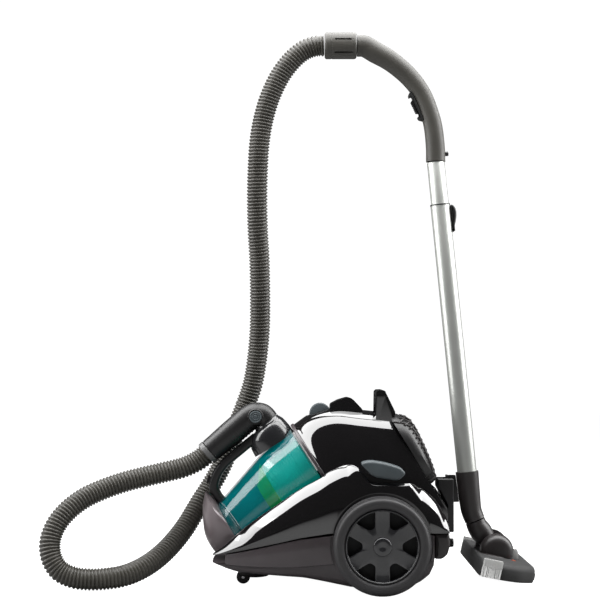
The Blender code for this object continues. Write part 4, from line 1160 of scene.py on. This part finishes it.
def elbow_button():
    """Round release button on the elbow's near side, in a raised seat."""
    face = [(0.0215, 0.01), (0.0262, 0.01), (0.0272, 0.0108), (0.0284, 0.0104), (0.0288, 0.0092),
            (0.0282, 0.008),
            (0.028, 0.007), (0.0287, 0.0062), (0.0287, 0.0052), (0.028, 0.0044), (0.028, 0.0036),
            (0.0288, 0.0028), (0.0289, 0.001)]
    piece("elbow_press", turned(ELBOW_BUTTON, (0, -1, 0), face, count=72), "elbow_button",
          "matte_blue_grey", ("elbow_button",), angle=25.0)
    seat = [(0.019, 0.0112), (0.019, 0.014), (0.024, 0.014), (0.0252, 0.0132), (0.0252, 0.0112)]
    piece("elbow_seat", turned(ELBOW_BUTTON, (0, -1, 0), seat, closed=True, count=72), "bin",
          "matte_black", angle=25.0)


# ---------------------------------------------------------------- handle and wand

def hose_cuff():
    """Turning cuff at the top of the hose, with three grip slots."""
    cuff = [(-0.072, 0.015), (-0.072, 0.0215), (-0.0706, 0.0233), (-0.069, 0.024), (-0.061, 0.024),
            (-0.0606, 0.0234),
            (-0.0594, 0.0234), (-0.059, 0.024), (-0.0184, 0.024), (-0.016, 0.0232), (-0.0145, 0.0215),
            (-0.0145, 0.015)]
    slots = []
    for k in range(3):
        turn = math.tau * k / 6 + 0.2
        c, s = math.cos(turn), math.sin(turn)
        slots.append(moved(box((-0.054, -0.0014, 0.021), (-0.024, 0.0014, 0.03)),
                           lambda co, c=c, s=s: GRIP_CUFF + Vector((co.x, co.y * c - co.z * s,
                                                                    co.y * s + co.z * c))))
    piece("cuff", turned(GRIP_CUFF, (1, 0, 0), cuff, closed=True, count=96), "hose_cuff", "grip_grey",
          ("hose_cuff",), slots, bevel=0.0004)


def hand_grip():
    path = flat([(-0.013, 0.968), (0.0, 0.9672), (0.02, 0.956), (0.048, 0.9395), (0.081, 0.911),
                 (0.104, 0.88),
                 (0.117, 0.848), (0.124, 0.821), (0.128, 0.785)])
    path.append(on_tube(TUBE_LENGTH + TUBE_SHOWN + 0.0004))
    outers = [0.0195, 0.0195, 0.0195, 0.0185, 0.0175, 0.0165, 0.0165, 0.0168, 0.0172, 0.0175]
    piece("grip", pipe(path, outers, 0.0145, 64), "handle", "grip_grey", ("handle_grip",), angle=50.0)


def air_slider():
    """Ridged slider on the inner bend of the grip, in a seat with two raised ends."""
    rest = [(-0.031, -0.005), (-0.0245, 0.0036), (-0.0195, 0.0046), (-0.0195, -0.0006), (0.0195, -0.0006),
            (0.0195, 0.0046), (0.0245, 0.0036), (0.031, -0.005)]
    rest = measured(SLIDER_CENTRE, SLIDER_WAY, SLIDER_OUT, rest)
    piece("slider_seat", slab(rest, -0.0088, 0.0088), "handle", "seal_black", bevel=0.0007)
    pad = [(-0.013, 0.0), (0.013, 0.0), (0.0125, 0.002)]
    for k in range(7):
        run = 0.0105 - k * 0.0035
        pad += [(run, 0.0048), (run - 0.001, 0.0036),
                (run - 0.0018, 0.0036)] if k < 6 else [(run, 0.0048)]
    pad.append((-0.0125, 0.002))
    pad = measured(SLIDER_CENTRE, SLIDER_WAY, SLIDER_OUT, pad)
    piece("slider_pad", slab(pad, -0.007, 0.007, 0.0004), "air_slider", "matte_black", ("air_slider",),
          angle=25.0)


def upper_tube():
    """Inner tube and the lock button's pin."""
    low = on_tube(TUBE_LENGTH + TUBE_SHOWN - 0.0012)
    tube = [(0.0, 0.0148), (0.0, 0.0156), (0.0006, 0.016), (0.4965, 0.016), (0.497, 0.0157),
            (0.497, 0.0148)]
    piece("upper_tube", turned(low, -TUBE_WAY, tube, closed=True, count=72), "handle", "brushed_alu",
          ("inner_tube",), angle=40.0)
    pin_place = on_tube(0.573) + TUBE_OUT * 0.0202
    pin = [(-0.0035, 0.0038), (0.0, 0.0042), (0.003, 0.0042), (0.0038, 0.0037), (0.0042, 0.0028)]
    piece("lock_pin", turned(pin_place, TUBE_OUT, pin, count=32), "lock_button", "matte_black",
          ("lock_button",), angle=40.0)


def lower_tube():
    tube = [(0.0004, 0.0163), (0.0004, 0.0175), (TUBE_LENGTH - 0.003, 0.0175),
            (TUBE_LENGTH - 0.0022, 0.0171),
            (TUBE_LENGTH - 0.001, 0.0171), (TUBE_LENGTH, 0.0166), (TUBE_LENGTH, 0.0163)]
    piece("lower_tube", turned(TUBE_LOW, TUBE_WAY, tube, closed=True, count=96), "wand", "brushed_alu",
          ("outer_tube",), angle=40.0)
    lip = [(TUBE_LENGTH - 0.0028, 0.0172), (TUBE_LENGTH - 0.0026, 0.018), (TUBE_LENGTH - 0.0006, 0.018),
           (TUBE_LENGTH - 0.0004, 0.0168)]
    piece("tube_lip", turned(TUBE_LOW, TUBE_WAY, lip + [(TUBE_LENGTH - 0.0016, 0.0166)], closed=True,
                             count=72), "wand", "matte_black")


def tube_button():
    """Drop-shaped telescope button at the top of the outer tube."""
    teardrop = [(0.054, 0.0181), (0.003, 0.0181), (0.004, 0.0225), (0.009, 0.0262), (0.016, 0.0276),
                (0.024, 0.0272),
                (0.034, 0.0248), (0.044, 0.0212)]
    corners = [on_tube(TUBE_LENGTH - below) + TUBE_OUT * off for below, off in teardrop]
    corners = rounded(corners, 0.003)
    piece("tube_button", slab(corners, -0.009, 0.009, 0.0035, 4), "telescope_button", "matte_black",
          ("telescope_button",), angle=50.0)


def wand_neck():
    """Bent neck under the outer tube and the hook that parks the wand."""
    path = [TUBE_LOW, TUBE_LOW - TUBE_WAY * 0.04] + flat([(0.1895, 0.129), (0.1955, 0.1125)])
    piece("neck", pipe(path, [0.0205, 0.0195, 0.0185, 0.018], 0.0145, 64), "wand", "dark_grey",
          ("wand_neck",), angle=50.0)
    hook = rounded([(0.147, 0.144), (0.1675, 0.144), (0.1613, 0.192), (0.147, 0.192)], 0.002)
    join = box((0.144, -0.01, 0.144), (0.148, 0.01, 0.192))
    piece("hook", slab(hook, -0.003, 0.003), "wand", "matte_black", ("park_hook",), (), [join], 0.0007)


# ---------------------------------------------------------------- floor tool

TOOL_PLAN = [
    (0.0705, 0.088), (0.0385, 0.124), (0.006, 0.14), (-0.029, 0.14), (-0.032, 0.134), (-0.0325, 0.094),
]


def tool_knuckle():
    seam = Vector((0.1963, 0.0, 0.1102))
    path = [seam] + flat([(0.1998, 0.1015), (0.207, 0.0905), (0.215, 0.08)])
    link = pipe(flat([(0.212, 0.087), (0.22, 0.06)]), [0.0155, 0.012], count=48)
    barrel = [(-0.02, 0.01), (-0.0195, 0.0125), (-0.018, 0.0142), (-0.016, 0.015), (0.016, 0.015),
              (0.018, 0.0142),
              (0.0195, 0.0125), (0.02, 0.01)]
    ball = turned(TOOL_PIVOT, MIDDLE, barrel, count=64)
    knuckle = pipe(path, [0.0178, 0.018, 0.0184, 0.0192, 0.0198, 0.0198, 0.019, 0.0178], count=64)
    piece("knuckle", knuckle, "tool_swivel", "dark_grey", ("tool_swivel",), joins=[ball, link],
          angle=40.0)


def tool_head():
    """Flat head with its suction mouth, the well of the joint and the pedal's recess."""
    plan = TOOL_PLAN + [(x, -y) for x, y in TOOL_PLAN[::-1]]
    plan = rounded(plan, 0.012, steps=5)
    levels = [(-0.0245, 0.985), (-0.0236, 0.994), (-0.022, 1.0), (-0.007, 1.0), (-0.004, 0.995),
              (-0.001, 0.98),
              (0.0015, 0.955), (0.003, 0.92), (0.0035, 0.89)]
    rings = [[at_tool((p.x * scale, p.y * scale, z)) for p in plan] for z, scale in levels]
    well = slab([(-0.026, -0.02), (0.026, -0.02), (0.026, 0.03), (-0.026, 0.03)], -0.026, 0.026)
    mouth = slab([(-0.01, -0.06), (0.008, -0.06), (0.008, -0.01), (-0.01, -0.01)], -0.105, 0.105)
    recess = slab([(0.0285, -0.0035), (0.0485, -0.0035), (0.0485, 0.02), (0.0285, 0.02)], -0.0315, 0.0315)
    cuts = [moved(bm, at_tool) for bm in (well, mouth, recess)]
    piece("head", loft(rings), "tool_head", "seal_black", ("tool_head",), cuts, angle=40.0)


def tool_pedal():
    pedal = rounded([(0.03, 0.0), (0.047, 0.0), (0.0455, 0.014), (0.041, 0.0215), (0.0325, 0.019)],
                    0.0025)
    pedal = moved(slab(pedal, -0.03, 0.03), at_tool)
    piece("head_pedal", pedal, "tool_pedal", "light_grey", ("tool_pedal",), bevel=0.0012)


def tool_housing():
    """Raised housing round the joint: a low hump and two round cheeks."""
    hump = []
    for x, half, top in ((-0.024, 0.052, 0.004), (-0.01, 0.06, 0.0075), (0.012, 0.058, 0.0085),
                         (0.0265, 0.046, 0.006)):
        hump.append([at_tool((x, half * math.cos(t), 0.003 + (top - 0.003) * math.sin(t)))
                     for t in [math.pi * k / 24 for k in range(25)]])
        hump[-1] += [at_tool((x, -half, 0.0)), at_tool((x, half, 0.0))]
    well = moved(slab([(-0.0262, -0.02), (0.0262, -0.02), (0.0262, 0.03), (-0.0262, 0.03)], -0.0262,
                      0.0262), at_tool)
    piece("head_hump", loft(smooth_rings(hump, 5)), "tool_head", "dark_grey", (), [well], angle=40.0)
    side_dome = [(0.0268, 0.028), (0.0272, 0.029), (0.036, 0.029), (0.042, 0.028), (0.047, 0.0255),
                 (0.0505, 0.0215),
                 (0.0525, 0.016), (0.0535, 0.008), (0.0537, 0.002)]
    for side, way in SIDES:
        cheek = turned(at_tool((0.006, 0.0, 0.012)), (0, way, 0), side_dome, count=72)
        piece("cheek_" + side, cheek, "tool_head", "dark_grey", angle=50.0)


def tool_trim():
    """Small marker beside the pedal, and the plate on the front face."""
    mark = [(0.03, -0.062), (0.038, -0.062), (0.034, -0.05)]
    mark = [[at_tool((x, y, z)) for x, y in mark] for z in (0.003, 0.0041)]
    piece("head_mark", loft(mark), "tool_head", "mark_orange")
    face = [at_tool((0.0668, y, z))
            for y, z in ((-0.082, -0.02), (0.082, -0.02), (0.082, -0.008), (-0.082, -0.008))]
    face = [face, [co + TOOL_TURN @ Vector((0.0046, 0.0, 0.0)) for co in face]]
    piece("head_face", loft(face), "tool_head", "satin_grey", bevel=0.0008)


def side_brushes():
    """A ribbed holder on each end of the head, with a row of leaning bristles under it."""
    for side, way in SIDES:
        back = rounded([(-0.03, -0.006), (0.003, -0.006), (0.003, 0.007), (-0.03, 0.007)], 0.0015)
        ribs = [side_slab(back, way, 0.1404, 0.1434)]
        for i in range(8):
            x = -0.028 + i * 0.0041
            left, right = x - 0.0011, x + 0.0011
            rib = [(left, -0.0058), (right, -0.0058), (right, 0.0062), (left, 0.0062)]
            ribs.append(side_slab(rib, way, 0.1425, 0.1444))
        holder = merged(*[moved(bm, at_tool) for bm in ribs])
        piece("comb_" + side, holder, "tool_head", "light_grey", ("side_brush_" + side,))
        tufts = []
        for i in range(26):
            x = -0.0294 + i * 0.00127 + random.uniform(-0.0002, 0.0002)
            lean = random.uniform(-0.0012, 0.0004)
            y = way * (0.1416 + random.uniform(-0.0008, 0.0008))
            top = Vector((x, y, -0.005))
            foot = Vector((x + lean, y + way * 0.001, -0.025 + random.uniform(0.0, 0.0015)))
            tufts.append(turned(top, foot - top, [(0.0, 0.00075), ((foot - top).length, 0.00065)],
                                count=6))
        bristles = moved(merged(*tufts), at_tool)
        piece("bristles_" + side, bristles, "tool_head", "bristle_white")


def insides():
    """Parts under the cover keep their CAD shape and take their own finish."""
    looks = {
        "motor": "steel", "motor_mount": "seal_black", "fan": "brushed_alu",
        "pre_motor_filter": "filter_white",
        "cord_reel": "dark_grey", "reel_axle": "steel", "reel_bracket": "dark_grey",
        "control_board": "board_green",
    }
    for node, look in looks.items():
        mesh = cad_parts[node].data
        mesh.materials.clear()
        mesh.materials.append(LOOKS[look])


lower_body()
fenders()
pedals()
upper_cover()
back_panel()
collar()
suction_dial()
carry_handle()
grille()
grille_bars()
filter_pad()
bumper()
wand_bracket()
cord_gland()
rear_wheels()
caster()
dust_bin()
cyclone()
bin_insides()
bin_door()
bin_inlet()
bin_handle()
elbow()
elbow_button()
hose_cuff()
hand_grip()
air_slider()
upper_tube()
lower_tube()
tube_button()
wand_neck()
tool_knuckle()
tool_head()
tool_pedal()
tool_housing()
tool_trim()
side_brushes()
insides()
